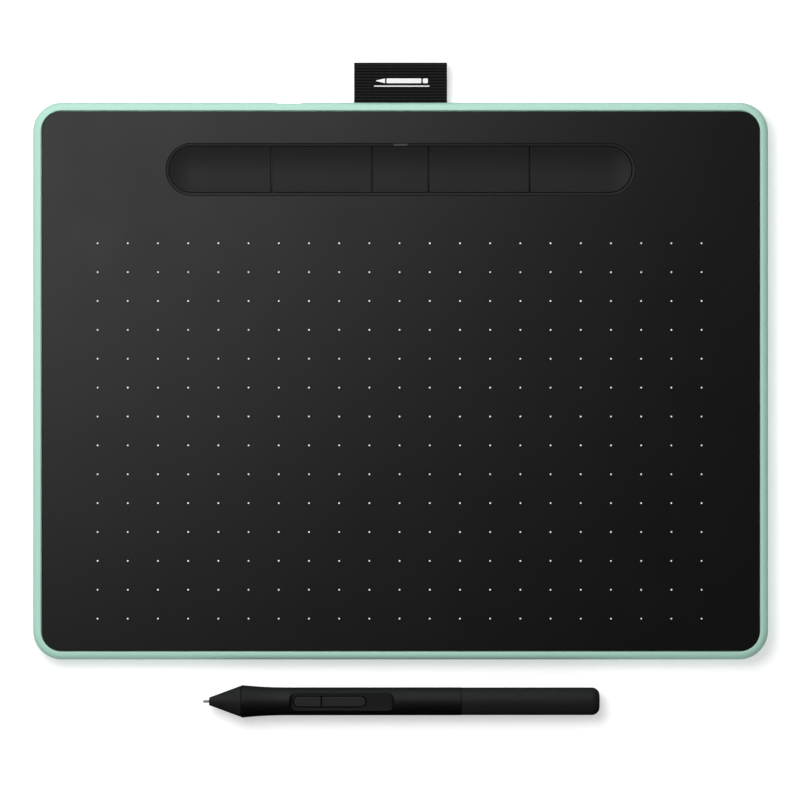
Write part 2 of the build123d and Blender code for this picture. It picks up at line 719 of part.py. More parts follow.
def switch_outline(grow):
    length = SWITCH_TO - SWITCH_FROM + 2 * grow
    middle = (SWITCH_TO + SWITCH_FROM) / 2
    return Pos(middle, 0) * SlotOverall(length, SWITCH_WIDTH + 2 * grow)


def front_barrel():
    """Grip from the cone's seam to the rear barrel, with its waist, flat and slot."""
    waist = Spline(
        (RIDGE_X, RIDGE_R), *WAIST, (WAIST_END, GRIP_R),
        tangents=((1, WAIST_START_SLOPE), (1, 0)),
    )
    outline = Polyline((CONE_SEAM, 0), (CONE_SEAM, CONE_SEAM_R), (RIDGE_X, RIDGE_R)) + waist
    outline += Polyline((WAIST_END, GRIP_R), (GRIP_END, GRIP_R), (GRIP_END, SPIGOT_R),
                        (SPIGOT_END, SPIGOT_R), (SPIGOT_END, 0), (CONE_SEAM, 0))
    barrel = revolve(Plane.XZ * make_face(outline), Axis.X)
    barrel -= tube_x(GRIP_BORE_R, CONE_SEAM, SPIGOT_END)
    barrel -= tube_x(CONE_SPIGOT_R + CONE_FIT_GAP, CONE_SEAM, CONE_SPIGOT_END + CONE_END_GAP)
    barrel -= facet_tool()
    return barrel - slab(switch_outline(SWITCH_GAP), 0, GRIP_R)


def pen_switch(start, end):
    """One of the two switch keys: cap, inner flange and plunger."""
    cap = slab(switch_outline(0), SWITCH_FLANGE_LOW, SWITCH_TOP)
    cap += slab(switch_outline(SWITCH_FLANGE), SWITCH_FLANGE_LOW, SWITCH_FLANGE_TOP)
    window = Pos((start + end) / 2, 0, 0) * Box(end - start, 4 * SWITCH_WIDTH, 4 * SWITCH_TOP)
    return cap & window


def switch_front():
    key_cap = pen_switch(SWITCH_FROM - 2 * SWITCH_FLANGE, SWITCH_SPLIT - SWITCH_SPLIT_GAP / 2)
    return key_cap + peg((DOME_X[0], 0), DOME_BUTTON_R, SWITCH_PLUNGER_LOW, SWITCH_FLANGE_LOW)


def switch_rear():
    key_cap = pen_switch(SWITCH_SPLIT + SWITCH_SPLIT_GAP / 2, SWITCH_TO + 2 * SWITCH_FLANGE)
    return key_cap + peg((DOME_X[1], 0), DOME_BUTTON_R, SWITCH_PLUNGER_LOW, SWITCH_FLANGE_LOW)


def pen_domes():
    domes = []
    for x in DOME_X:
        dome = block((x, 0), DOME_SIZE, 0) + peg((x, 0), DOME_BUTTON_R, 0, DOME_BUTTON_TOP)
        domes.append(dome)
    return Compound(children=domes)


def pen_board():
    length = PEN_BOARD_TO - PEN_BOARD_FROM
    middle = (PEN_BOARD_TO + PEN_BOARD_FROM) / 2
    return block((middle, 0), (length, PEN_BOARD_WIDTH, -CRADLE_TOP), CRADLE_TOP)


def ferrite_core():
    return tube_x(CORE_R, CORE_FROM, CORE_TO) - tube_x(CONE_BORE_R, CORE_FROM, CORE_TO)


def pen_coil():
    return tube_x(COIL_R, COIL_FROM, COIL_TO) - tube_x(CORE_R, COIL_FROM, COIL_TO)


def pressure_cartridge():
    cartridge = tube_x(CARTRIDGE_R, CARTRIDGE_FROM, CARTRIDGE_TO)
    return cartridge - tube_x(CONE_BORE_R, CARTRIDGE_FROM, CARTRIDGE_BORE_TO)


def pen_cradle():
    """Half-round tray that holds the coil, the cartridge and the board."""
    cradle = tube_x(CRADLE_R, CRADLE_FROM, CRADLE_TO)
    length = CRADLE_TO - CRADLE_FROM
    upper = Box(length, 2 * CRADLE_R, 2 * CRADLE_R, align=(Align.MIN, Align.CENTER, Align.MIN))
    cradle -= Pos(CRADLE_FROM, 0, CRADLE_TOP) * upper
    cradle -= tube_x(COIL_R, CRADLE_FROM, CARTRIDGE_FROM)
    return cradle - tube_x(CARTRIDGE_R, CARTRIDGE_FROM, CARTRIDGE_TO)


def spare_nib_places():
    turns = [math.radians(90 + 120 * n) for n in range(3)]
    return [(SPARE_NIB_RING * math.cos(a), SPARE_NIB_RING * math.sin(a)) for a in turns]


def nib_caddy():
    """Plug in the barrel's end with three holes for the spare nibs."""
    caddy = tube_x(CADDY_PLUG_R, CADDY_PLUG_FROM, SPIGOT_END)
    caddy += tube_x(CADDY_R, SPIGOT_END, CADDY_TO)
    for y, z in spare_nib_places():
        caddy -= Pos(0, y, z) * tube_x(SPARE_NIB_R, SPARE_NIB_FROM, CADDY_TO)
    return caddy


def spare_nibs():
    nibs = [Pos(0, y, z) * tube_x(SPARE_NIB_R, SPARE_NIB_FROM, SPARE_NIB_TO)
            for y, z in spare_nib_places()]
    return Compound(children=nibs)


def rear_barrel():
    """Pull-off rear barrel, closed at its end."""
    barrel = tube_x(CAP_R, GRIP_END, PEN_LENGTH)
    barrel = fillet(barrel.edges().group_by(Axis.X)[-1], CAP_END_ROUND)
    return barrel - tube_x(CAP_BORE_R, GRIP_END, CAP_BORE_END)


# ---- Everything, by name ----------------------------------------------------
def tablet_parts():
    parts = {
        "bottom_case": bottom_case(),
        "support_grid": support_grid(),
        "top_panel": top_panel(),
        "case_screws": case_screws(),
        "key_bezel": key_bezel(),
        "led_light_pipe": led_light_pipe(),
        "key_carrier": key_carrier(),
        "main_board": main_board(),
        "board_screws": board_screws(),
        "key_switches": key_switches(),
        "board_chips": board_chips(),
        "shield_can": shield_can(),
        "status_led": status_led(),
        "antenna": antenna(),
        "board_connectors": board_connectors(),
        "usb_shell": usb_shell(),
        "usb_tongue": usb_tongue(),
        "battery_tape": battery_tape(),
        "battery": battery(),
        "battery_lead": battery_lead(),
        "sensor_adhesive": slab(sensor_outline(), SENSOR_TOP, PANEL_LOW),
        "sensor_board": slab(sensor_outline(), SENSOR_LOW, SENSOR_TOP),
        "shield_plate": slab(sensor_outline(), SENSOR_LOW - SHIELD_THICK, SENSOR_LOW),
        "sensor_flex": sensor_flex(),
        "pen_loop": pen_loop(),
        "pen_loop_tail": pen_loop_tail(),
        "loop_clamp": loop_clamp(),
        "loop_screws": loop_screws(),
    }
    for name, span in zip(KEY_NAMES, key_spans()):
        parts[name] = key(*span)
    parts["power_key"] = power_key()
    foot_names = ("foot_front_left", "foot_front_right", "foot_rear_left", "foot_rear_right")
    for name, (x, y) in zip(foot_names, corners(FOOT_X, FOOT_Y)):
        parts[name] = Pos(x, y) * foot()
    return parts


def pen_parts():
    place = pen_place()
    parts = {
        "nib": nib(),
        "nib_cone": nib_cone(),
        "front_barrel": front_barrel(),
        "switch_front": switch_front(),
        "switch_rear": switch_rear(),
        "pen_domes": pen_domes(),
        "pen_board": pen_board(),
        "ferrite_core": ferrite_core(),
        "pen_coil": pen_coil(),
        "pressure_cartridge": pressure_cartridge(),
        "pen_cradle": pen_cradle(),
        "nib_caddy": nib_caddy(),
        "spare_nibs": spare_nibs(),
        "rear_barrel": rear_barrel(),
    }
    return {name: place * shape for name, shape in parts.items()}


os.makedirs("parts", exist_ok=True)
for node, shape in (tablet_parts() | pen_parts()).items():
    export_step(shape, f"parts/{node}.step")
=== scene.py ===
"""Pen drawing tablet with its pen: the looks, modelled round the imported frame.

Sizes are in metres, in the frame's own axes: +X to the user's right, +Y to the
rear edge with the pen loop, +Z up from the plane that the feet stand on.
"""

from __future__ import annotations

import json
import logging
import math
from collections.abc import Callable, Iterator
from contextlib import contextmanager
from dataclasses import dataclass, field, replace
from enum import Enum

import bmesh
import bpy
from mathutils import Matrix, Vector


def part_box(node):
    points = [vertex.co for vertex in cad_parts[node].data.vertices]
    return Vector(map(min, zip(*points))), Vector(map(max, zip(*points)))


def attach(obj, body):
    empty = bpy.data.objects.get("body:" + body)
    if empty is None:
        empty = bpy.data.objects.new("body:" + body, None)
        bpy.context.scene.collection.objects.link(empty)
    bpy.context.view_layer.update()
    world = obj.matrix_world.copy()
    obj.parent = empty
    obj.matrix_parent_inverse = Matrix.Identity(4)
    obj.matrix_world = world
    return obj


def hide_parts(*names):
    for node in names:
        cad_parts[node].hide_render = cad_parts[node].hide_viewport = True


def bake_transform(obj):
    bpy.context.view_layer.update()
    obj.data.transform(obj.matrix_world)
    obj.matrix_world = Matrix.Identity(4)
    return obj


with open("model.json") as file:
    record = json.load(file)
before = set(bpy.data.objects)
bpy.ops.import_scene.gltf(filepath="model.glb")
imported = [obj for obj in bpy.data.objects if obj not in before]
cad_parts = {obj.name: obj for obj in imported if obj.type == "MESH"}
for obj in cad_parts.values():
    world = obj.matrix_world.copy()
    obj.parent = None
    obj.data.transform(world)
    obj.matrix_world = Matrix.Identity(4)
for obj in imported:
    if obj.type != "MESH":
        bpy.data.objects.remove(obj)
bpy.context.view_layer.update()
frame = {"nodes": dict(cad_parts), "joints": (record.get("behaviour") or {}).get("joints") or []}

LOG = logging.getLogger("tablet")
MM = 0.001
TOUCHING = 1e-6               # corners nearer than this are one corner
SMOOTH_UP_TO = math.radians(32)
ON_LINE = 2e-5                # how near an edge lies to a line to count as on it

Colour = tuple[float, float, float]


# ---- Working tools ----------------------------------------------------------
class Kind(Enum):
    """What is selected while a mesh is edited."""

    CORNERS = "VERT"
    EDGES = "EDGE"
    FACES = "FACE"


@dataclass(frozen=True)
class Spot:
    """Where a corner, an edge or a face is, and how it stands.

    Attributes:
        at: Its middle.
        facing: Its normal, or nothing for an edge.
        fold: The angle that the surface turns by at an edge.
    """

    at: Vector
    facing: Vector
    fold: float = 0.0


Test = Callable[[Spot], bool]


def anything(spot: Spot) -> bool:
    """Every spot passes."""
    return True


def spot_of(item: bmesh.types.BMVert | bmesh.types.BMEdge | bmesh.types.BMFace) -> Spot:
    """Read where an element of an edited mesh is.

    Args:
        item: A corner, an edge or a face.

    Returns:
        Its middle, its normal and, for an edge, its fold.
    """
    if isinstance(item, bmesh.types.BMVert):
        return Spot(item.co.copy(), item.normal.copy())
    if isinstance(item, bmesh.types.BMFace):
        return Spot(item.calc_center_median(), item.normal.copy())
    middle = (item.verts[0].co + item.verts[1].co) / 2
    return Spot(middle, Vector(), item.calc_face_angle(math.pi))


def only(*objects: bpy.types.Object) -> None:
    """Select these objects and nothing else, with the first one active.

    Args:
        objects: What the next operator is to act on.
    """
    bpy.ops.object.select_all(action="DESELECT")
    for obj in objects:
        obj.select_set(True)
    bpy.context.view_layer.objects.active = objects[0]


class Shape:
    """A mesh under the modeller's hands, worked with the edit tools."""

    def __init__(self, name: str) -> None:
        """Take up the primitive that was just added, under its name."""
        self.obj = bpy.context.active_object
        self.obj.name = name
        self.obj.data.name = name

    @contextmanager
    def picked(self, kind: Kind, test: Test = anything) -> Iterator[None]:
        """Edit the mesh with what passes the test selected.

        Args:
            kind: Whether corners, edges or faces are looked at.
            test: Says of each one's place whether it is selected.
        """
        only(self.obj)
        bpy.ops.object.mode_set(mode="EDIT")
        bpy.ops.mesh.select_mode(type=kind.value)
        bpy.ops.mesh.select_all(action="DESELECT")
        mesh = bmesh.from_edit_mesh(self.obj.data)
        groups = {Kind.CORNERS: mesh.verts, Kind.EDGES: mesh.edges, Kind.FACES: mesh.faces}
        for item in groups[kind]:
            if test(spot_of(item)):
                item.select_set(True)
        bmesh.update_edit_mesh(self.obj.data)
        yield
        bpy.ops.object.mode_set(mode="OBJECT")

    def settle(self) -> Shape:
        """Put the object at the origin, with its place in its mesh."""
        only(self.obj)
        bpy.ops.object.transform_apply(location=True, rotation=True, scale=True)
        return self

    def face_out(self) -> Shape:
        """Merge corners that touch and turn every face outwards."""
        with self.picked(Kind.FACES):
            bpy.ops.mesh.select_all(action="SELECT")
            bpy.ops.mesh.remove_doubles(threshold=TOUCHING)
            bpy.ops.mesh.select_all(action="SELECT")
            bpy.ops.mesh.normals_make_consistent(inside=False)
        return self

    def cut(self, *tools: Shape) -> Shape:
        """Take these shapes out of this one and clear them away.

        Args:
            tools: Closed shapes, which are used up.
        """
        for tool in tools:
            modifier = self.obj.modifiers.new("cut", "BOOLEAN")
            modifier.operation = "DIFFERENCE"
            modifier.solver = "EXACT"
            modifier.object = tool.obj
            only(self.obj)
            bpy.ops.object.modifier_apply(modifier=modifier.name)
            bpy.data.objects.remove(tool.obj)
        return self

    def join(self, *others: Shape) -> Shape:
        """Make these shapes a part of this one.

        Args:
            others: Shapes that don't cross this one.
        """
        only(self.obj, *(other.obj for other in others))
        bpy.ops.object.join()
        return self

    def copy(self, name: str, shift: tuple[float, float, float] = (0, 0, 0)) -> Shape:
        """Copy the shape with a mesh of its own.

        Args:
            name: The copy's name.
            shift: How far the copy is moved.

        Returns:
            The copy.
        """
        only(self.obj)
        bpy.ops.object.duplicate(linked=False)
        made = Shape(name)
        bpy.ops.transform.translate(value=shift)
        return made.settle()

    def round_edges(self, test: Test, radius: float, steps: int = 4) -> Shape:
        """Round the edges that pass the test.

        Args:
            test: Says of an edge's place whether it is rounded.
            radius: The rounding's radius at a square edge.
            steps: How many faces the rounding has.
        """
        with self.picked(Kind.EDGES, test):
            bpy.ops.mesh.bevel(offset=radius, segments=steps, profile=0.5, clamp_overlap=False)
        return self

    def place(self, matrix: Matrix) -> Shape:
        """Move the shape from its own frame to where it belongs.

        Args:
            matrix: The place of the shape's frame.
        """
        self.obj.matrix_world = matrix
        return self.settle()

    def half_space(self, point: Vector, outwards: Vector) -> Shape:
        """Cut the shape with a plane, close it and keep the inner half.

        Args:
            point: A point of the plane.
            outwards: The side that is cleared away.
        """
        with self.picked(Kind.FACES):
            bpy.ops.mesh.select_all(action="SELECT")
            bpy.ops.mesh.bisect(plane_co=point, plane_no=outwards, use_fill=True, clear_outer=True)
        return self

    def smooth(self, angle: float = SMOOTH_UP_TO) -> Shape:
        """Shade smooth, apart from edges sharper than the angle, with flats kept flat.

        Args:
            angle: How sharp an edge may be and still shade smooth.
        """
        only(self.obj)
        bpy.ops.object.shade_smooth_by_angle(angle=angle)
        weigh = self.obj.modifiers.new("weigh", "WEIGHTED_NORMAL")
        weigh.keep_sharp = True
        bpy.ops.object.modifier_apply(modifier=weigh.name)
        return self


@dataclass(frozen=True)
class Outline:
    """Rectangle with round corners, which at full corner radius is a pill.

    Attributes:
        length: Its size along X.
        width: Its size along Y.
        corner: The radius of its corners.
        centre: Its middle.
        steps: How many edges each corner has.
    """

    length: float
    width: float
    corner: float
    centre: tuple[float, float] = (0.0, 0.0)
    steps: int = 16

    def grown(self, by: float) -> Outline:
        """The same outline, larger by this much all round."""
        wider = (self.length + 2 * by, self.width + 2 * by, self.corner + by)
        return Outline(*wider, self.centre, self.steps)


def pill(half: float, radius: float, centre: tuple[float, float], steps: int = 24) -> Outline:
    """Outline with round ends.

    Args:
        half: Half the length of its straight stretch.
        radius: The radius of its ends.
        centre: Its middle.
        steps: How many edges a quarter of a round end has.

    Returns:
        The outline.
    """
    return Outline(2 * (half + radius), 2 * radius, radius, centre, steps)


def plate(name: str, outline: Outline, low: float, high: float) -> Shape:
    """Model a flat plate of an outline between two heights.

    Args:
        name: The shape's name.
        outline: Its outline.
        low: The height of its underside.
        high: The height of its top.

    Returns:
        The closed plate.
    """
    bpy.ops.object.select_all(action="DESELECT")
    bpy.ops.mesh.primitive_plane_add(size=1, location=(*outline.centre, low))
    shape = Shape(name)
    with shape.picked(Kind.CORNERS):
        bpy.ops.mesh.select_all(action="SELECT")
        bpy.ops.transform.resize(value=(outline.length, outline.width, 1))
        if outline.corner > 0:
            bpy.ops.mesh.bevel(offset=outline.corner, segments=outline.steps, affect="VERTICES",
                               clamp_overlap=False)
            bpy.ops.mesh.select_all(action="SELECT")
            bpy.ops.mesh.remove_doubles(threshold=TOUCHING)
        bpy.ops.mesh.extrude_region_move(TRANSFORM_OT_translate={"value": (0, 0, high - low)})
    return shape.settle().face_out()


def upright(name: str, outline: Outline, rear: float, front: float) -> Shape:
    """Model a plate that stands on edge, with its outline in X and Z.

    Args:
        name: The shape's name.
        outline: Its outline, whose middle is an X and a Z.
        rear: The Y of its rear face.
        front: The Y of its front face.

    Returns:
        The closed plate.
    """
    x, z = outline.centre
    flat = replace(outline, centre=(0.0, 0.0))
    shape = plate(name, flat, 0, rear - front)
    return shape.place(Matrix.Translation((x, rear, z)) @ Matrix.Rotation(math.radians(90), 4, "X"))


def turned(name: str, rings: list[tuple[float, float]], sides: int = 96,
           tube: bool = False) -> Shape:
    """Model a round body along X from rings of (x, radius).

    Args:
        name: The shape's name.
        rings: Each ring's place along the axis and its radius, in order.
        sides: How many sides the body has round its axis.
        tube: Whether the last ring joins the first one, as on a hollow body.

    Returns:
        The body, about the X axis.
    """
    x, radius = rings[0]
    bpy.ops.object.select_all(action="DESELECT")
    fill = "NOTHING" if tube else "NGON"
    turn = Matrix.Rotation(math.radians(90), 3, "Y") @ Matrix.Rotation(math.pi / sides, 3, "Z")
    bpy.ops.mesh.primitive_circle_add(vertices=sides, radius=radius, fill_type=fill,
                                      location=(x, 0, 0), rotation=turn.to_euler())
    shape = Shape(name).settle()
    with shape.picked(Kind.EDGES):
        bpy.ops.mesh.select_all(action="SELECT")
        for next_x, next_radius in rings[1:]:
            step = {"value": (next_x - x, 0, 0)}
            if tube:
                bpy.ops.mesh.extrude_edges_move(TRANSFORM_OT_translate=step)
            else:
                bpy.ops.mesh.extrude_region_move(TRANSFORM_OT_translate=step)
            grow = next_radius / radius
            bpy.ops.transform.resize(value=(1, grow, grow), center_override=(next_x, 0, 0))
            x, radius = next_x, next_radius
        if tube:
            bpy.ops.mesh.select_all(action="DESELECT")
            bpy.ops.mesh.select_non_manifold()
            bpy.ops.mesh.bridge_edge_loops()
    return shape.face_out()


def arc(centre: tuple[float, float], radius: float, start: float, stop: float,
        steps: int) -> list[tuple[float, float]]:
    """Points along an arc, as (x, radius) rings of a turned body.

    Args:
        centre: The arc's middle.
        radius: Its radius.
        start: The angle of its first point, in degrees from +X.
        stop: The angle of its last point.
        steps: How many stretches it has.

    Returns:
        Its points, both ends included.
    """
    angles = [math.radians(start + (stop - start) * n / steps) for n in range(steps + 1)]
    return [(centre[0] + radius * math.cos(a), centre[1] + radius * math.sin(a)) for a in angles]


# ---- Finishes ---------------------------------------------------------------
class Wiring:
    """A material's nodes, with short calls for adding and joining them."""

    def __init__(self, name: str) -> None:
        """Start a material of this name from its main shader."""
        self.material = bpy.data.materials.new(name)
        self.material.use_nodes = True
        self.tree = self.material.node_tree
        self.shader = self.tree.nodes["Principled BSDF"]

    def add(self, kind: str, sockets: dict[str, object], **settings: object) -> bpy.types.Node:
        """Add a node.

        Args:
            kind: The node's type, without its common start.
            sockets: For each input, a value or the output that feeds it.
            settings: The node's own settings.

        Returns:
            The node.
        """
        made = self.tree.nodes.new("ShaderNode" + kind)
        for name, value in settings.items():
            setattr(made, name, value)
        self.feed(made, sockets)
        return made

    def feed(self, node: bpy.types.Node, sockets: dict[str, object]) -> None:
        """Set or join a node's inputs.

        Args:
            node: The node.
            sockets: For each input, a value or the output that feeds it.
        """
        for name, value in sockets.items():
            if isinstance(value, bpy.types.NodeSocket):
                self.tree.links.new(value, node.inputs[name])
            else:
                node.inputs[name].default_value = value

    def coordinates(self, kind: str = "Object") -> bpy.types.NodeSocket:
        """Where a point of the surface is."""
        return self.add("TexCoord", {}).outputs[kind]

    def noise(self, size: float, detail: float = 2.0,
              vector: bpy.types.NodeSocket | None = None) -> bpy.types.NodeSocket:
        """Soft random spots.

        Args:
            size: How large a spot is.
            detail: How many finer layers the spots have.
            vector: Where the pattern is read, or nothing for the object's own place.

        Returns:
            The pattern, from 0 to 1.
        """
        place = vector or self.coordinates()
        made = self.add("TexNoise", {"Vector": place, "Scale": 1 / size, "Detail": detail})
        return made.outputs["Fac"]

    def ramp(self, factor: bpy.types.NodeSocket, low: Colour, high: Colour,
             start: float = 0.3, stop: float = 0.7) -> bpy.types.NodeSocket:
        """A colour that runs between two tones.

        Args:
            factor: What it runs with.
            low: The tone at the start.
            high: The tone at the stop.
            start: Where the low tone ends.
            stop: Where the high tone begins.

        Returns:
            The colour.
        """
        made = self.add("ValToRGB", {"Fac": factor})
        first, last = made.color_ramp.elements
        first.position, last.position = start, stop
        first.color, last.color = (*low, 1), (*high, 1)
        return made.outputs["Color"]

    def spread(self, factor: bpy.types.NodeSocket, low: float, high: float) -> bpy.types.NodeSocket:
        """A number that runs between two values with a pattern."""
        limits = {"Value": factor, "From Min": 0.3, "From Max": 0.7, "To Min": low, "To Max": high}
        return self.add("MapRange", limits).outputs["Result"]

    def bump(self, height: bpy.types.NodeSocket, depth: float,
             under: bpy.types.NodeSocket | None = None) -> bpy.types.NodeSocket:
        """Fine relief.

        Args:
            height: The pattern of the relief.
            depth: How deep it is.
            under: The relief that it lies on, if any.

        Returns:
            The surface's direction.
        """
        sockets = {"Height": height, "Distance": depth, "Strength": 1.0}
        if under is not None:
            sockets["Normal"] = under
        return self.add("Bump", sockets).outputs["Normal"]


class Finish:
    """What a surface is made of. Each kind of finish fills in its nodes."""

    name: str

    def wire(self, wiring: Wiring) -> None:
        """Fill in the material's nodes."""
        raise NotImplementedError

    def material(self) -> bpy.types.Material:
        """The finish as a material, made the first time it is asked for."""
        found = bpy.data.materials.get(self.name)
        if found is not None:
            return found
        wiring = Wiring(self.name)
        self.wire(wiring)
        return wiring.material


@dataclass(frozen=True)
class MouldedPlastic(Finish):
    """Plastic with the spark grain that its mould leaves.

    Attributes:
        name: The material's name.
        colour: Its lighter tone.
        shade: Its darker tone.
        roughness: How rough its smoothest and its roughest spots are.
        grain: The size of the grain.
        depth: The depth of the grain.
        specular: How much it shines.
        drift: The size of the patches where tone and roughness change.
    """

    name: str
    colour: Colour
    shade: Colour
    roughness: tuple[float, float]
    grain: float = 0.16 * MM
    depth: float = 0.004 * MM
    specular: float = 0.5
    drift: float = 22 * MM

    def wire(self, wiring: Wiring) -> None:
        """Grain in the relief, slow drift in tone and roughness."""
        grain = wiring.noise(self.grain, 3.0)
        drift = wiring.noise(self.drift, 4.0)
        speck = wiring.ramp(grain, self.shade, self.colour, 0.25, 0.75)
        wiring.feed(wiring.shader, {
            "Base Color": speck,
            "Roughness": wiring.spread(drift, *self.roughness),
            "Specular IOR Level": self.specular,
            "Normal": wiring.bump(grain, self.depth),
        })


@dataclass(frozen=True)
class PrintedInk(Finish):
    """Screen print: dense, a little uneven and matte.

    Attributes:
        name: The material's name.
        colour: The ink's full tone.
        thin: Its tone where it lies thin.
    """

    name: str
    colour: Colour
    thin: Colour

    def wire(self, wiring: Wiring) -> None:
        """Fine mottle in the ink's tone."""
        mottle = wiring.noise(0.12 * MM, 2.0)
        wiring.feed(wiring.shader, {
            "Base Color": wiring.ramp(mottle, self.thin, self.colour),
            "Roughness": wiring.spread(mottle, 0.45, 0.6),
            "Specular IOR Level": 0.3,
            "Normal": wiring.bump(mottle, 0.003 * MM),
        })


@dataclass(frozen=True)
class Rubber(Finish):
    """Soft rubber with a dull skin.

    Attributes:
        name: The material's name.
        colour: The rubber's tone.
        bloom: The paler tone of its dusty skin.
    """

    name: str
    colour: Colour
    bloom: Colour

    def wire(self, wiring: Wiring) -> None:
        """Dusty bloom over a fine pitted skin."""
        dust = wiring.noise(3 * MM, 5.0)
        pits = wiring.noise(0.25 * MM, 2.0)
        wiring.feed(wiring.shader, {
            "Base Color": wiring.ramp(dust, self.colour, self.bloom),
            "Roughness": wiring.spread(pits, 0.72, 0.9),
            "Specular IOR Level": 0.25,
            "Normal": wiring.bump(pits, 0.012 * MM),
        })


@dataclass(frozen=True)
class Webbing(Finish):
    """Elastic tape woven from crossing threads, read along the tape's own map.

    Attributes:
        name: The material's name.
        colour: The threads' lit tone.
        shade: The painted shade between the threads and between the ribs.
        rib: The spacing of the tape's ribs.
        warp: The spacing of the threads that run along the tape.
        weft: The spacing of the threads that run across it.
    """

    name: str
    colour: Colour
    shade: Colour
    rib: float = 1.05 * MM
    warp: float = 0.42 * MM
    weft: float = 0.26 * MM

    def stripes(self, wiring: Wiring, direction: str, spacing: float,
                waver: float = 0.35) -> bpy.types.NodeSocket:
        """Rounded stripes along the tape's map, dark where the map starts."""
        sockets = {
            "Vector": wiring.coordinates("UV"),
            "Scale": math.pi / 10 / spacing,
            "Distortion": waver,
            "Detail": 1.0,
            "Detail Scale": 1.2,
        }
        made = wiring.add("TexWave", sockets, bands_direction=direction, wave_profile="SIN")
        return made.outputs["Fac"]

    def wire(self, wiring: Wiring) -> None:
        """Crossing threads in relief and fuzz, with painted shade: darker between the threads and
        between the ribs.
        """
        along = self.stripes(wiring, "X", self.warp)
        across = self.stripes(wiring, "Y", self.weft)
        # Painted shade: the tone falls to the dark shade in the valleys between the ribs.
        rib_gap_painted_shade = self.stripes(wiring, "Y", self.rib, 0.0)
        crossing = wiring.add("Math", {0: along, 1: across}, operation="MULTIPLY").outputs[0]
        fuzz = wiring.noise(0.09 * MM, 3.0)
        weave = wiring.bump(crossing, 0.05 * MM)
        # Painted shade: the tone darkens between the crossing threads.
        lit = wiring.ramp(crossing, self.shade, self.colour, 0.05, 0.8)
        shaded = wiring.add("Mix", {}, data_type="RGBA")
        wiring.tree.links.new(rib_gap_painted_shade, shaded.inputs["Factor"])
        wiring.tree.links.new(lit, shaded.inputs[6])
        shaded.inputs[7].default_value = (*self.shade, 1)
        wiring.feed(wiring.shader, {
            "Base Color": shaded.outputs[2],
            "Roughness": wiring.spread(fuzz, 0.4, 0.55),
            "Specular IOR Level": 0.1,
            "Sheen Weight": 0.12,
            "Sheen Roughness": 0.4,
            "Normal": wiring.bump(fuzz, 0.02 * MM, weave),
        })


@dataclass(frozen=True)
class Metal(Finish):
    """Bare or plated metal.

    Attributes:
        name: The material's name.
        colour: Its bright tone.
        shade: Its dull tone.
        roughness: How rough its smoothest and its roughest spots are.
    """

    name: str
    colour: Colour
    shade: Colour
    roughness: tuple[float, float] = (0.22, 0.42)

    def wire(self, wiring: Wiring) -> None:
        """Fine scratches across a slow change of tone."""
        tarnish = wiring.noise(1.6 * MM, 4.0)
        rub = wiring.noise(0.07 * MM, 2.0)
        wiring.feed(wiring.shader, {
            "Base Color": wiring.ramp(tarnish, self.shade, self.colour),
            "Metallic": 1.0,
            "Roughness": wiring.spread(tarnish, *self.roughness),
            "Normal": wiring.bump(rub, 0.002 * MM),
        })


@dataclass(frozen=True)
class Laminate(Finish):
    """Circuit board: lacquer over copper tracks.

    Attributes:
        name: The material's name.
        lacquer: The tone of the lacquer over bare board.
        track: Its tone over copper.
        pitch: The size of the pattern of tracks.
    """

    name: str
    lacquer: Colour
    track: Colour
    pitch: float = 1.3 * MM

    def wire(self, wiring: Wiring) -> None:
        """Blocky tracks in tone and relief."""
        sockets = {"Vector": wiring.coordinates(), "Scale": 1 / self.pitch}
        cells = wiring.add("TexVoronoi", sockets, distance="CHEBYCHEV", feature="DISTANCE_TO_EDGE")
        lines = cells.outputs["Distance"]
        wiring.feed(wiring.shader, {
            "Base Color": wiring.ramp(lines, self.track, self.lacquer, 0.08, 0.14),
            "Roughness": wiring.spread(lines, 0.28, 0.4),
            "Specular IOR Level": 0.5,
            "Normal": wiring.bump(lines, 0.01 * MM),
        })


@dataclass(frozen=True)
class Film(Finish):
    """Thin film, foil or tape with a few soft creases.

    Attributes:
        name: The material's name.
        colour: Its light tone.
        shade: Its dark tone.
        metallic: 1 for foil, 0 for plastic film.
        crease: The size of the creases.
    """

    name: str
    colour: Colour
    shade: Colour
    metallic: float = 0.0
    crease: float = 6 * MM

    def wire(self, wiring: Wiring) -> None:
        """Soft creases in relief, tone and roughness."""
        folds = wiring.noise(self.crease, 3.0)
        wiring.feed(wiring.shader, {
            "Base Color": wiring.ramp(folds, self.shade, self.colour),
            "Metallic": self.metallic,
            "Roughness": wiring.spread(folds, 0.25, 0.45),
            "Normal": wiring.bump(folds, 0.15 * MM),
        })


@dataclass(frozen=True)
class Winding(Finish):
    """Enamelled wire wound round the pen's axis.

    Attributes:
        name: The material's name.
        colour: The wire's lit tone.
        shade: The painted shade between two turns.
        turn: The spacing of the turns.
    """

    name: str
    colour: Colour
    shade: Colour
    turn: float = 0.22 * MM

    def wire(self, wiring: Wiring) -> None:
        """Rounded stripes across the axis, with painted shade between the turns."""
        sockets = {"Vector": wiring.coordinates(), "Scale": math.pi / 10 / self.turn}
        turns = wiring.add("TexWave", sockets, bands_direction="X").outputs["Fac"]
        wiring.feed(wiring.shader, {
            # Painted shade: the colour darkens between the turns.
            "Base Color": wiring.ramp(turns, self.shade, self.colour, 0.1, 0.6),
            "Metallic": 0.9,
            "Roughness": wiring.spread(turns, 0.3, 0.38),
            "Normal": wiring.bump(turns, 0.06 * MM),
        })


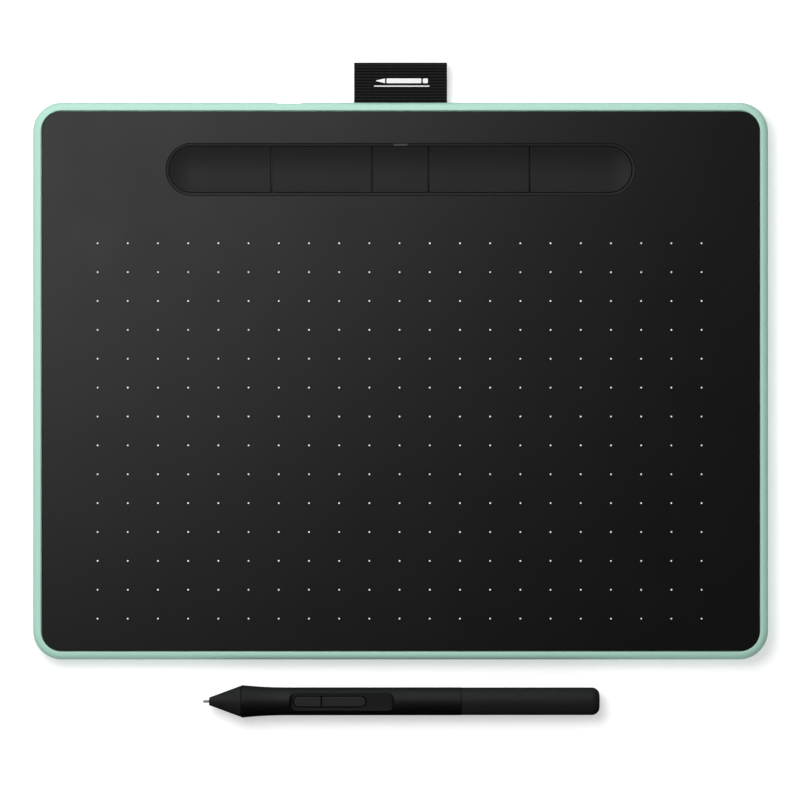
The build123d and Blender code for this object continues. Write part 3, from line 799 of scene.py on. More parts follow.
MINT = MouldedPlastic("mint_satin_plastic", (0.425, 0.685, 0.57), (0.4, 0.66, 0.545), (0.36, 0.44),
                      depth=0.002 * MM, specular=0.45)
PANEL_BLACK = MouldedPlastic("panel_grained_black", (0.0045, 0.0045, 0.0047), (0.0025, 0.0025, 0.0026),
                             (0.34, 0.38), grain=0.13 * MM, depth=0.004 * MM, specular=0.5)
BEZEL_BLACK = MouldedPlastic("bezel_satin_black", (0.0145, 0.0145, 0.0148), (0.011, 0.011, 0.0113),
                             (0.42, 0.48), grain=0.1 * MM, depth=0.002 * MM, specular=0.25)
KEY_BLACK = MouldedPlastic("key_satin_black", (0.0145, 0.0145, 0.0148), (0.011, 0.011, 0.0113),
                           (0.45, 0.5), grain=0.11 * MM, depth=0.003 * MM, specular=0.22)
SYMBOL_BLACK = MouldedPlastic("symbol_gloss_black", (0.006, 0.006, 0.006), (0.004, 0.004, 0.004),
                              (0.26, 0.32), grain=0.1 * MM, depth=0.001 * MM, specular=0.4)
WINDOW = MouldedPlastic("frosted_window", (0.06, 0.06, 0.06), (0.045, 0.045, 0.046),
                        (0.3, 0.38), grain=0.08 * MM, depth=0.002 * MM, specular=0.5)
CONE_BLACK = MouldedPlastic("cone_matte_black", (0.014, 0.014, 0.0145), (0.009, 0.009, 0.0093),
                            (0.46, 0.54), grain=0.1 * MM, depth=0.003 * MM, specular=0.4)
GRIP_BLACK = MouldedPlastic("grip_soft_black", (0.0035, 0.0035, 0.0036), (0.0025, 0.0025, 0.0026),
                            (0.54, 0.6), grain=0.12 * MM, depth=0.001 * MM, specular=0.58)
BARREL_BLACK = MouldedPlastic("barrel_matte_black", (0.014, 0.014, 0.0143), (0.011, 0.011, 0.0112),
                              (0.42, 0.5), grain=0.1 * MM, depth=0.003 * MM, specular=0.25)
SWITCH_BLACK = MouldedPlastic("switch_matte_black", (0.0145, 0.0145, 0.0148), (0.011, 0.011, 0.0113),
                              (0.42, 0.5), grain=0.09 * MM, depth=0.003 * MM, specular=0.45)
NIB_GREY = MouldedPlastic("nib_grey_plastic", (0.26, 0.26, 0.262), (0.2, 0.2, 0.202),
                          (0.5, 0.6), grain=0.07 * MM, depth=0.003 * MM, specular=0.4, drift=3 * MM)
INNER_PLASTIC = MouldedPlastic("inner_grey_plastic", (0.07, 0.07, 0.072), (0.05, 0.05, 0.051),
                               (0.45, 0.6), depth=0.003 * MM)
COMPONENT = MouldedPlastic("component_dark_epoxy", (0.03, 0.03, 0.031), (0.02, 0.02, 0.02),
                           (0.35, 0.5), grain=0.08 * MM, drift=2 * MM)
FERRITE = MouldedPlastic("ferrite_grey", (0.07, 0.07, 0.074), (0.045, 0.045, 0.047),
                         (0.5, 0.65), grain=0.12 * MM, depth=0.006 * MM, drift=2 * MM)
DOT_INK = PrintedInk("dot_ink_off_white", (0.9, 0.93, 0.91), (0.8, 0.83, 0.81))
MARK_INK = PrintedInk("mark_ink_white", (0.9, 0.9, 0.9), (0.78, 0.78, 0.79))
FOOT_RUBBER = Rubber("foot_rubber", (0.014, 0.014, 0.0145), (0.024, 0.024, 0.025))
TAPE_BLACK = Webbing("loop_webbing_black", (0.05, 0.05, 0.051), (0.0012, 0.0012, 0.0013))
STEEL = Metal("zinc_plated_steel", (0.62, 0.62, 0.63), (0.5, 0.5, 0.51))
TINNED = Metal("tinned_shell", (0.72, 0.71, 0.69), (0.6, 0.59, 0.57), (0.16, 0.32))
BOARD = Laminate("circuit_board_green", (0.008, 0.05, 0.022), (0.014, 0.095, 0.045))
CELL_POUCH = Film("cell_pouch_foil", (0.5, 0.5, 0.52), (0.36, 0.36, 0.38), metallic=0.8)
ADHESIVE = Film("adhesive_tape_grey", (0.16, 0.16, 0.16), (0.11, 0.11, 0.11))
SHIELD = Film("shield_foil", (0.66, 0.66, 0.67), (0.52, 0.52, 0.53), metallic=1.0, crease=9 * MM)
RIBBON = Film("ribbon_amber_film", (0.5, 0.27, 0.07), (0.36, 0.18, 0.04))
WIRE_RED = Film("wire_sleeve_red", (0.45, 0.02, 0.02), (0.3, 0.012, 0.012), crease=1 * MM)
COPPER = Winding("copper_winding", (0.72, 0.33, 0.15), (0.2, 0.08, 0.03))


def dress(shape: Shape, finish: Finish, body: str, slot: str | None,
          *nodes: str, angle: float = SMOOTH_UP_TO) -> None:
    """Finish a piece: shading, material, body and the CAD nodes it stands for.

    Args:
        shape: The modelled shape.
        finish: What it is made of.
        body: The body that it moves with.
        slot: The record's material slot, if it has one; not used.
        nodes: The CAD nodes that it stands for.
        angle: How sharp an edge may be and still shade smooth.
    """
    shape.smooth(angle)
    obj = shape.obj
    obj.data.materials.clear()
    obj.data.materials.append(finish.material())
    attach(obj, body)
    if nodes:
        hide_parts(*nodes)
    LOG.info("%s: %d faces, on %s", obj.name, len(obj.data.polygons), body)


# ---- Tablet -----------------------------------------------------------------
@dataclass
class Casing:
    """The mint tray with its rounded rim, its openings, feet and screws.

    Attributes:
        corner: The radius of its corners, seen from above.
        round_top: The rounding of the rim's crest.
        round_low: The rounding up from the underside.
        lip: The fine break of the recess's edge.
        gap: The room round the panel.
        ledge: The width of the ledge under the panel.
        floor_top: The height of the floor's inner face.
        corner_steps: How many edges each corner has.
        foot_pocket_gap: The room round a foot in its pocket.
        screw_gap: The room round a screw's head in its hole.
        port_gap: The room round the port's shell.
        port_corner: The radius of the port opening's corners.
        port_recess: The length and the height of the recess round the port.
        port_recess_from: How far back the recess starts.
        port_edge: The rounding of the port's and the slot's edges.
        slot_gap: The room round the loop in its slot.
    """

    corner: float = 10.4 * MM
    round_top: float = 2.5 * MM
    round_low: float = 4.4 * MM
    lip: float = 0.32 * MM
    gap: float = 0.3 * MM
    ledge: float = 2.0 * MM
    floor_top: float = 2.3 * MM
    corner_steps: int = 28
    foot_pocket_gap: float = 0.1 * MM
    screw_gap: float = 0.2 * MM
    port_gap: float = 0.2 * MM
    port_corner: float = 0.7 * MM
    port_recess: tuple[float, float] = (11.4 * MM, 5.0 * MM)
    port_recess_from: float = 98.7 * MM
    port_edge: float = 0.15 * MM
    slot_gap: float = 0.25 * MM

    def build(self) -> None:
        """Model the tray, its four feet and its four screws."""
        self.low, self.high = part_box("bottom_case")
        self.panel_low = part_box("sensor_adhesive")[1].z
        self.build_tray()
        self.build_feet()
        self.build_screws()

    def build_tray(self) -> None:
        """Model the tray and open it."""
        size = self.high - self.low
        outline = Outline(size.x, size.y, self.corner, steps=self.corner_steps)
        tray = plate("casing_tray", outline, self.low.z, self.high.z)
        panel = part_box("top_panel")
        rim = (size.x - (panel[1].x - panel[0].x)) / 2 - self.gap
        levels = self.high.z, self.panel_low, self.floor_top
        with tray.picked(Kind.FACES, lambda s: s.facing.z > 0.9):
            for step, width in enumerate((rim, self.ledge)):
                bpy.ops.mesh.inset(thickness=width)
                bpy.ops.mesh.extrude_region_move(
                    TRANSFORM_OT_translate={"value": (0, 0, levels[step + 1] - levels[step])})
        tray.face_out()
        inner = size.x / 2 - rim + ON_LINE, size.y / 2 - rim + ON_LINE

        def crest_at(spot: Spot, inside: bool) -> bool:
            """Whether a spot is on the rim's inner or outer top edge."""
            within = abs(spot.at.x) < inner[0] and abs(spot.at.y) < inner[1]
            sharp = spot.at.z > self.high.z - ON_LINE and spot.fold > math.radians(60)
            return sharp and within == inside

        tray.round_edges(lambda s: crest_at(s, False), self.round_top, 10)
        tray.round_edges(lambda s: s.at.z < self.low.z + ON_LINE, self.round_low, 12)
        tray.round_edges(lambda s: crest_at(s, True), self.lip, 3)
        self.open_rear(tray)
        self.open_underside(tray)
        dress(tray, MINT, "tablet", "casing", "bottom_case")

    def open_rear(self, tray: Shape) -> None:
        """Open the port, with its recess, and the loop's slot in the rear wall."""
        past = self.high.y + 1 * MM
        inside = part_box("loop_clamp")[1].y
        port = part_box("usb_shell")
        middle = (port[0] + port[1]) / 2
        size = port[1] - port[0]
        shell = Outline(size.x, size.z, self.port_corner, (middle.x, middle.z), 8)
        recess = Outline(*self.port_recess, self.port_recess[1] / 2, (middle.x, middle.z), 16)
        tray.cut(upright("port_opening", shell.grown(self.port_gap), past, inside))
        tray.cut(upright("port_recess", recess, past, self.port_recess_from))
        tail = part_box("pen_loop_tail")
        tail_middle, tail_size = (tail[0] + tail[1]) / 2, tail[1] - tail[0]
        room = Outline(tail_size.x, tail_size.z, 0.2 * MM, (tail_middle.x, tail_middle.z), 4)
        tray.cut(upright("loop_slot", room.grown(self.slot_gap), past, inside))
        rear = self.high.y
        tray.round_edges(
            lambda s: abs(s.at.y - rear) < ON_LINE and s.fold > math.radians(60)
            and abs(s.at.z - middle.z) < self.port_recess[1] / 2 + 0.1 * MM, self.port_edge, 3)

    def open_underside(self, tray: Shape) -> None:
        """Sink the feet's pockets and the screws' holes."""
        for name in Feet.names:
            low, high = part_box(name)
            middle, size = (low + high) / 2, high - low
            foot = Outline(size.x, size.y, size.y / 2, (middle.x, middle.y))
            tray.cut(plate("pocket", foot.grown(self.foot_pocket_gap), 0, high.z))
        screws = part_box("case_screws")
        radius = Screws.head + self.screw_gap
        for x, y in Screws.places():
            hole = Outline(2 * radius, 2 * radius, radius, (x, y), 12)
            tray.cut(plate("hole", hole, 0, screws[0].z + Screws.head_height))

    def build_feet(self) -> None:
        """Model the four feet."""
        Feet().build()

    def build_screws(self) -> None:
        """Model the four screws."""
        Screws().build()


@dataclass
class Feet:
    """Four pill-shaped rubber pads under the casing's corners.

    Attributes:
        names: The nodes that the pads stand for.
        edge: The rounding of the edge that stands on the desk.
        rim: The width of the raised border.
        dish: How far the face inside the border is sunk.
    """

    names = ("foot_front_left", "foot_front_right", "foot_rear_left", "foot_rear_right")
    edge: float = 0.35 * MM
    rim: float = 1.1 * MM
    dish: float = 0.15 * MM

    def build(self) -> None:
        """Model each foot at its own place."""
        for name in self.names:
            low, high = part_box(name)
            middle, size = (low + high) / 2, high - low
            outline = Outline(size.x, size.y, size.y / 2, (middle.x, middle.y), 20)
            foot = plate(name + "_pad", outline, low.z, high.z)
            foot.round_edges(lambda s: s.at.z < low.z + ON_LINE, self.edge, 5)
            with foot.picked(Kind.FACES, lambda s: s.facing.z < -0.99 and s.at.z < low.z + ON_LINE):
                bpy.ops.mesh.inset(thickness=self.rim)
                bpy.ops.mesh.inset(thickness=self.dish, depth=-self.dish)
            dress(foot, FOOT_RUBBER, "tablet", "foot_rubber", name)


@dataclass
class Screws:
    """Four cross-head screws that hold the casing to the panel.

    Attributes:
        head: The radius of the head.
        head_height: How thick the head is.
        shank: The radius of the shank.
        head_edge: The rounding of the head's edge.
        cross: The length and the width of the cross in the head.
        cross_depth: How deep it is.
    """

    head = 2.0 * MM
    head_height = 1.15 * MM
    shank = 1.0 * MM
    head_edge: float = 0.35 * MM
    cross: tuple[float, float] = (2.5 * MM, 0.55 * MM)
    cross_depth: float = 0.6 * MM

    @staticmethod
    def places() -> list[tuple[float, float]]:
        """The middles of the four screws, from the box round them all."""
        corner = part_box("case_screws")[1]
        x, y = corner.x - Screws.head, corner.y - Screws.head
        return [(side * x, end * y) for side in (-1, 1) for end in (-1, 1)]

    def build(self) -> None:
        """Model one screw with its head down, and copy it to all four places."""
        low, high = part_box("case_screws")
        first = self.places()[0]
        neck = low.z + self.head_height
        head = plate("case_screw_set", Outline(2 * self.head, 2 * self.head, self.head, first, 10),
                     low.z, neck)
        head.round_edges(lambda s: s.at.z < low.z + ON_LINE, self.head_edge, 4)
        for length, width in (self.cross, self.cross[::-1]):
            bar = Outline(length, width, 0.1 * MM, first, 3)
            head.cut(plate("cross", bar, low.z - 0.1 * MM, low.z + self.cross_depth))
        shank = Outline(2 * self.shank, 2 * self.shank, self.shank, first, 6)
        head.join(plate("shank", shank, neck, high.z))
        copies = [head.copy(f"screw_{n}", (x - first[0], y - first[1], 0))
                  for n, (x, y) in enumerate(self.places()[1:])]
        dress(head.join(*copies), STEEL, "tablet", "steel", "case_screws")


@dataclass
class Channel:
    """Where the key channel lies: every outline in it is a pill round one line.

    Attributes:
        half: Half the length of that line.
        y: Its place.
        steps: How many edges a quarter of a round end has.
    """

    half: float = 74.85 * MM
    y: float = 75.95 * MM
    steps: int = 28

    def outline(self, radius: float) -> Outline:
        """The pill of this end radius."""
        return pill(self.half, radius, (0.0, self.y), self.steps)

    def reach(self, at: Vector) -> float:
        """How far a point is from the channel's line, seen from above."""
        beyond = max(abs(at.x) - self.half, 0.0)
        return math.hypot(beyond, at.y - self.y)


@dataclass
class Panel:
    """The black work surface with its printed grid of dots.

    Attributes:
        corner: The radius of its corners.
        edge: The rounding of its outer edge.
        hole: The end radius of the key channel's hole.
        hole_edge: The rounding of that hole's edge.
        dots: How many dots there are along X and along Y.
        pitch: Their spacing along X and along Y.
        dots_middle: The middle of the grid.
        dot_radius: The radius of a dot.
        dot_height: How far the ink stands on the panel.
        dot_sunk: How deep a dot reaches into the panel.
        channel: Where the key channel lies.
        corner_steps: How many edges each corner has.
    """

    channel: Channel
    corner: float = 6.75 * MM
    edge: float = 0.3 * MM
    hole: float = 9.4 * MM
    hole_edge: float = 0.14 * MM
    dots: tuple[int, int] = (21, 14)
    pitch: tuple[float, float] = (10.84 * MM, 10.365 * MM)
    dots_middle: tuple[float, float] = (-0.37 * MM, -17.9 * MM)
    dot_radius: float = 0.3 * MM
    dot_height: float = 0.015 * MM
    dot_sunk: float = 0.05 * MM
    corner_steps: int = 28

    def build(self) -> None:
        """Model the panel and print its dots."""
        low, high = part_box("top_panel")
        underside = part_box("sensor_adhesive")[1].z
        outline = Outline(high.x - low.x, high.y - low.y, self.corner, steps=self.corner_steps)
        panel = plate("work_panel", outline, underside, high.z)
        panel.round_edges(lambda s: s.at.z > high.z - ON_LINE, self.edge, 4)
        panel.cut(plate("channel_hole", self.channel.outline(self.hole), 0, high.z + 1 * MM))
        panel.round_edges(
            lambda s: s.at.z > high.z - ON_LINE
            and abs(self.channel.reach(s.at) - self.hole) < 0.02 * MM, self.hole_edge, 3)
        dress(panel, PANEL_BLACK, "tablet", "panel", "top_panel")
        self.print_dots(high.z)

    def print_dots(self, top: float) -> None:
        """Model one printed dot and repeat it over the grid."""
        across = (self.dots[0] - 1) * self.pitch[0]
        deep = (self.dots[1] - 1) * self.pitch[1]
        first = (self.dots_middle[0] - across / 2, self.dots_middle[1] - deep / 2)
        size = 2 * self.dot_radius
        dot = plate("work_area_dots", Outline(size, size, self.dot_radius, first, 4),
                    top - self.dot_sunk, top + self.dot_height)
        for axis, (count, pitch) in enumerate(zip(self.dots, self.pitch, strict=True)):
            row = dot.obj.modifiers.new("row", "ARRAY")
            row.count = count
            row.use_relative_offset = False
            row.use_constant_offset = True
            row.constant_offset_displace = [pitch if n == axis else 0.0 for n in range(3)]
            only(dot.obj)
            bpy.ops.object.modifier_apply(modifier=row.name)
        dress(dot, DOT_INK, "tablet", None)


@dataclass
class Keys:
    """The five keys in their channel, with the sloping wall round them.

    Attributes:
        wall: The end radius of the wall's outside.
        bore: The end radius of its inside.
        slope: How wide and how deep the wall's sloping face is.
        crest: The rounding of the wall's top edges.
        radius: The end radius of the keys' outline.
        edge_top: The height of the keys' edges.
        trough: How deep the hollow along their tops is.
        trough_rings: How many steps the hollow is modelled in.
        splits: Where one key ends and the next begins.
        gap: The room between two keys.
        edge: The rounding of the keys' edges.
        window: The length and the width of the status light's window.
        symbol: The power symbol's radius, line and opening.
        symbol_shift: How far the symbol is behind the channel's line.
        symbol_sunk: How deep the symbol reaches into its key.
        symbol_proud: How far it stands out.
        window_proud: How far the window stands out of the slope.
        bodies: The body of each key's node.
        channel: Where the channel lies.
    """

    channel: Channel
    wall: float = 9.3 * MM
    bore: float = 8.4 * MM
    slope: tuple[float, float] = (0.75 * MM, 0.14 * MM)
    crest: float = 0.07 * MM
    radius: float = 8.2 * MM
    edge_top: float = 8.2 * MM
    trough: float = 1.4 * MM
    trough_rings: int = 22
    splits: tuple[float, ...] = (-46.4 * MM, -10.1 * MM, 10.1 * MM, 46.4 * MM)
    gap: float = 0.4 * MM
    edge: float = 0.3 * MM
    window: tuple[float, float] = (5.1 * MM, 0.8 * MM)
    symbol: tuple[float, float, float] = (1.65 * MM, 0.36 * MM, 2.7 * MM)
    symbol_shift: float = 0.2 * MM
    symbol_sunk: float = 0.2 * MM
    symbol_proud: float = 0.06 * MM
    window_proud: float = 0.04 * MM
    bodies: dict[str, str] = field(default_factory=lambda: {
        "key_1": "first_key", "key_2": "second_key", "power_key": "power_button",
        "key_3": "third_key", "key_4": "fourth_key"})

    def build(self) -> None:
        """Model the wall, its window, the keys and the power symbol."""
        self.build_wall()
        self.build_window()
        self.build_keys()
        self.build_symbol()

    def build_wall(self) -> None:
        """Model the ring: crest, sloping face, bore and underside."""
        low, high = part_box("key_bezel")[0].z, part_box("key_bezel")[1].z
        foot = low + 1.15 * MM
        wall = plate("channel_wall", self.channel.outline(self.wall), foot, high)
        wide, deep = self.slope
        with wall.picked(Kind.FACES, lambda s: s.facing.z > 0.9):
            bpy.ops.mesh.inset(thickness=self.wall - self.bore - wide)
            bpy.ops.mesh.inset(thickness=wide, depth=-deep)
            bpy.ops.mesh.extrude_region_move(
                TRANSFORM_OT_translate={"value": (0, 0, foot + deep - high)})
            bpy.ops.mesh.delete(type="FACE")
        with wall.picked(Kind.FACES, lambda s: s.facing.z < -0.9):
            bpy.ops.mesh.delete(type="FACE")
        with wall.picked(Kind.EDGES, lambda s: s.at.z < foot + ON_LINE):
            bpy.ops.mesh.bridge_edge_loops()
        wall.face_out()
        wall.round_edges(
            lambda s: s.at.z > high - deep - ON_LINE and s.fold > math.radians(20)
            and self.channel.reach(s.at) > self.bore - 0.05 * MM, self.crest, 2)
        room = Outline(*self.window, self.window[1] / 2, self.window_place(), 10)
        wall.cut(plate("window_slot", room.grown(0.01 * MM), foot - 1 * MM, high + 1 * MM))
        dress(wall, BEZEL_BLACK, "tablet", "keys", "key_bezel", angle=math.radians(20))

    def window_place(self) -> tuple[float, float]:
        """The window's middle, over its light pipe."""
        low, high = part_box("led_light_pipe")
        return (low.x + high.x) / 2, (low.y + high.y) / 2

    def build_window(self) -> None:
        """Model the status light's window, cut along the wall's slope."""
        low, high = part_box("led_light_pipe")
        x, y = self.window_place()
        outline = Outline(*self.window, self.window[1] / 2, (x, y), 10)
        window = plate("status_window", outline, low.z, high.z + 1 * MM)
        wide, deep = self.slope
        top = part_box("key_bezel")[1].z
        outwards = Vector((0, -deep, wide)).normalized()
        crest_y = self.channel.y + self.bore + wide
        window.half_space(Vector((x, crest_y, top + self.window_proud)), outwards)
        window.round_edges(lambda s: s.at.z > top - 2 * deep and s.fold > math.radians(40),
                           0.08 * MM, 3)
        dress(window, WINDOW, "tablet", "light_window", "led_light_pipe")

    def top_at(self, reach: float) -> float:
        """The height of the keys' hollow at a distance from the channel's line."""
        curve = (self.radius**2 + self.trough**2) / (2 * self.trough)
        return self.edge_top - self.trough + curve - math.sqrt(curve**2 - reach**2)

    def build_bank(self, low: float) -> Shape:
        """Model all five keys as one long pill with its hollow top."""
        bank = plate("key_bank", self.channel.outline(self.radius), low, self.edge_top)
        ring = self.radius / (self.trough_rings + 0.5)
        with bank.picked(Kind.FACES, lambda s: s.facing.z > 0.9):
            reach = self.radius
            for _ in range(self.trough_rings):
                bpy.ops.mesh.inset(thickness=ring)
                drop = self.top_at(reach - ring) - self.top_at(reach)
                bpy.ops.transform.translate(value=(0, 0, drop))
                reach -= ring
        return bank

    def build_keys(self) -> None:
        """Part the bank into its keys and round each one's edges."""
        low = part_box("key_1")[0].z + 0.7 * MM
        bank = self.build_bank(low)
        far = self.channel.half + 2 * self.radius
        cuts = (-far, *self.splits, far)
        for (node, body), start, stop in zip(self.bodies.items(), cuts, cuts[1:], strict=False):
            key = bank.copy(node + "_cap")
            key.half_space(Vector((start + self.gap / 2, 0, 0)), Vector((-1, 0, 0)))
            key.half_space(Vector((stop - self.gap / 2, 0, 0)), Vector((1, 0, 0)))
            key.face_out()
            key.round_edges(
                lambda s: s.fold > math.radians(55) and s.at.z > low + 0.4 * MM, self.edge, 4)
            dress(key, KEY_BLACK, body, "keys", node)
        bpy.data.objects.remove(bank.obj)

    def build_symbol(self) -> None:
        """Model the shallow power symbol: an open ring with a bar through its gap."""
        radius, line, opening = self.symbol
        y = self.channel.y + self.symbol_shift
        low = self.top_at(0.0) - self.symbol_sunk
        high = self.top_at(0.0) + self.symbol_proud
        bar = Outline(line, radius, line / 2, (0, y + 0.62 * radius), 4)
        symbol = plate("power_symbol", bar, low, high)
        outer = Outline(2 * radius + line, 2 * radius + line, radius + line / 2, (0, y), 12)
        ring = plate("symbol_ring", outer, low, high)
        ring.cut(plate("symbol_hole", outer.grown(-line), low - 1 * MM, high + 1 * MM))
        gap = Outline(opening, 2 * radius, 0, (0, y + 1.25 * radius))
        ring.cut(plate("symbol_gap", gap, low - 1 * MM, high + 1 * MM))
        dress(symbol.join(ring), SYMBOL_BLACK, "power_button", None)


@dataclass
class PenLoop:
    """The ribbed elastic tape, folded over to hold the pen.

    Attributes:
        layer: The thickness of one layer, ribs included.
        fold: The radius of the fold's outside.
        rib: The spacing of the ribs.
        rib_height: How far the ribs stand out.
        rows_per_rib: How many rows of faces a rib has.
        columns: How many faces there are across the tape.
        bend: How far each way from the hinge the tape bends; not used.
        slot_gap: The room between the layers in the casing's slot.
        mark_y: How far back the mark's middle is.
        mark_thick: The thickness of the mark's ink and carrier.
        mark_proud: How far the mark stands above the ribs.
        mark_height: The width of the drawn pen.
        mark_body: The length and the place of the drawn pen's body.
        mark_tip: The length and the place of its tip.
        mark_end: The length and the place of its rear end.
        mark_line: The length, the width and the place of the line under it.
    """

    layer: float = 1.1 * MM
    fold: float = 2.1 * MM
    rib: float = 1.05 * MM
    rib_height: float = 0.28 * MM
    rows_per_rib: int = 6
    columns: int = 24
    bend: float = 1.2 * MM
    slot_gap: float = 0.05 * MM
    mark_y: float = 107.9 * MM
    mark_thick: float = 0.24 * MM
    mark_proud: float = 0.03 * MM
    mark_height: float = 1.7 * MM
    mark_body: tuple[float, float] = (12.5 * MM, 1.2 * MM)
    mark_tip: tuple[float, float] = (3.2 * MM, -7.2 * MM)
    mark_end: tuple[float, float] = (1.8 * MM, 8.9 * MM)
    mark_line: tuple[float, float, tuple[float, float]] = (20 * MM, 0.4 * MM, (0.4 * MM, -1.9 * MM))

    def build(self) -> None:
        """Model the tape and its mark."""
        low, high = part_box("pen_loop")
        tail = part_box("pen_loop_tail")
        self.width = high.x - low.x
        self.level = (low.z + high.z) / 2
        self.fold_y = high.y - self.fold
        self.front = tail[0].y
        joint = next(j for j in frame["joints"] if j["name"] == "loop_flex")
        self.hinge = Vector(joint["pos_m"])
        self.build_tape()
        self.build_mark()

    def lift(self, y: float) -> float:
        """How far the tape's outer face is from the loop's middle plane.

        The two layers lie flat on each other up to the hinge and part from
        there to the fold.
        """
        near = self.layer - self.slot_gap
        share = (y - self.hinge.y) / (self.fold_y - self.hinge.y)
        share = min(max(share, 0.0), 1.0)
        return near + (self.fold - near) * share

    def along(self, at: Vector) -> float:
        """How far along the folded tape a point of it lies, from its upper end."""
        straight = self.fold_y - self.front
        if at.y > self.fold_y:
            turn = math.pi / 2 - math.atan2(at.z - self.level, at.y - self.fold_y)
            return straight + turn * self.fold
        if at.z > self.level:
            return at.y - self.front
        return straight + math.pi * self.fold + self.fold_y - at.y

    def build_tape(self) -> None:
        """Model the tape: run out, spin round the fold, run back and thicken."""
        bpy.ops.object.select_all(action="DESELECT")
        step = self.rib / self.rows_per_rib
        bpy.ops.mesh.primitive_grid_add(x_subdivisions=self.columns, y_subdivisions=1, size=1,
                                        location=(0, self.front, self.level + self.fold))
        tape = Shape("pen_loop_tape")
        with tape.picked(Kind.CORNERS):
            bpy.ops.mesh.select_all(action="SELECT")
            bpy.ops.transform.resize(value=(self.width, 0, 1))
            bpy.ops.mesh.remove_doubles(threshold=TOUCHING)
        tape.settle()
        straight = self.fold_y - self.front
        rows = round(straight / step)
        turns = round(math.pi * self.fold / step)
        with tape.picked(Kind.CORNERS):
            bpy.ops.mesh.select_all(action="SELECT")
            for _ in range(rows):
                move = {"value": (0, straight / rows, 0)}
                bpy.ops.mesh.extrude_region_move(TRANSFORM_OT_translate=move)
            bpy.ops.mesh.spin(steps=turns, angle=math.pi, axis=(1, 0, 0),
                              center=(0, self.fold_y, self.level))
            for _ in range(rows):
                move = {"value": (0, -straight / rows, 0)}
                bpy.ops.mesh.extrude_region_move(TRANSFORM_OT_translate=move)
        tape.face_out()
        self.press_rows(tape)
        self.map_rows(tape)
        self.raise_ribs(tape)
        thick = tape.obj.modifiers.new("layer", "SOLIDIFY")
        thick.thickness = self.layer - self.rib_height
        thick.offset = -1
        only(tape.obj)
        bpy.ops.object.modifier_apply(modifier=thick.name)
        self.finish_tape(tape)

    def press_rows(self, tape: Shape) -> None:
        """Press the two layers together towards the casing, row by row."""
        for vertex in tape.obj.data.vertices:
            if vertex.co.y < self.fold_y:
                side = math.copysign(1.0, vertex.co.z - self.level)
                vertex.co.z = self.level + side * self.lift(vertex.co.y)

    def map_rows(self, tape: Shape) -> None:
        """Give the tape a map: across it in U, along it in V."""
        mesh = tape.obj.data
        layer = mesh.uv_layers.active or mesh.uv_layers.new(name="tape")
        for loop in mesh.loops:
            at = mesh.vertices[loop.vertex_index].co
            layer.data[loop.index].uv = (at.x, self.along(at))

    def raise_ribs(self, tape: Shape) -> None:
        """Sink the stretches between the ribs."""
        mesh = tape.obj.data
        places = [vertex.co.copy() for vertex in mesh.vertices]
        normals = [vertex.normal.copy() for vertex in mesh.vertices]
        for vertex, at, normal in zip(mesh.vertices, places, normals, strict=True):
            wave = 0.5 - 0.5 * math.cos(math.tau * self.along(at) / self.rib)
            vertex.co = at - normal * self.rib_height * wave**1.6

    def finish_tape(self, tape: Shape) -> None:
        """Dress the tape and hide the CAD nodes that it stands for."""
        tape.smooth(math.radians(60))
        obj = tape.obj
        obj.data.materials.clear()
        obj.data.materials.append(TAPE_BLACK.material())
        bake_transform(obj)
        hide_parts("pen_loop", "pen_loop_tail")

    def build_mark(self) -> None:
        """Model the printed mark: a plain pen lying above a drawn line."""
        y, thick = self.mark_y, self.mark_thick
        slope = math.atan((self.lift(y + 1 * MM) - self.lift(y)) / MM)
        parts = (("loop_mark", self.mark_body, 0.3 * MM), ("mark_tip", self.mark_tip, 0.0),
                 ("mark_end", self.mark_end, 0.35 * MM))
        body, tip, end = (
            plate(name, Outline(length, self.mark_height, corner, (x, 0), 4 if corner else 16),
                  0, thick)
            for name, (length, x), corner in parts)
        with tip.picked(Kind.CORNERS, lambda s: s.at.x < self.mark_tip[1]):
            bpy.ops.transform.resize(value=(1, 0.12, 1))
        length, width, place = self.mark_line
        line = plate("mark_line", Outline(length, width, width / 2, place, 4), 0, thick)
        mark = body.join(tip, end, line)
        level = self.level + self.lift(y) - thick + self.mark_proud
        mark.place(Matrix.Translation((0, y, level)) @ Matrix.Rotation(slope, 4, "X"))
        dress(mark, MARK_INK, "loop", None)


@dataclass
class Port:
    """The folded steel shell of the port, with its contact blade.

    Attributes:
        corner: The radius of the shell's corners.
        wall: The thickness of its steel.
        shell_edge: The rounding of the shell's edges.
        blade_edge: The rounding of the blade's edges.
    """

    corner: float = 0.7 * MM
    wall: float = 0.25 * MM
    shell_edge: float = 0.06 * MM
    blade_edge: float = 0.15 * MM

    def build(self) -> None:
        """Model the shell, open at the rear, and the blade."""
        low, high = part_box("usb_shell")
        middle, size = (low + high) / 2, high - low
        outline = Outline(size.x, size.z, self.corner, (middle.x, middle.z), 8)
        shell = upright("port_shell", outline, high.y, low.y)
        inside = upright("port_inside", outline.grown(-self.wall), high.y + 1 * MM, low.y + self.wall)
        shell.cut(inside)
        shell.round_edges(lambda s: s.at.y > high.y - ON_LINE and s.fold > math.radians(50),
                          self.shell_edge, 2)
        dress(shell, TINNED, "tablet", "tinned_shell", "usb_shell")
        low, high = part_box("usb_tongue")
        middle, size = (low + high) / 2, high - low
        blade = Outline(size.x, size.z, 0.05 * MM, (middle.x, middle.z), 2)
        tongue = upright("port_blade", blade, high.y, low.y)
        tongue.round_edges(lambda s: s.at.y > high.y - ON_LINE and s.fold > math.radians(50),
                           self.blade_edge, 3)
        dress(tongue, COMPONENT, "tablet", "component", "usb_tongue")


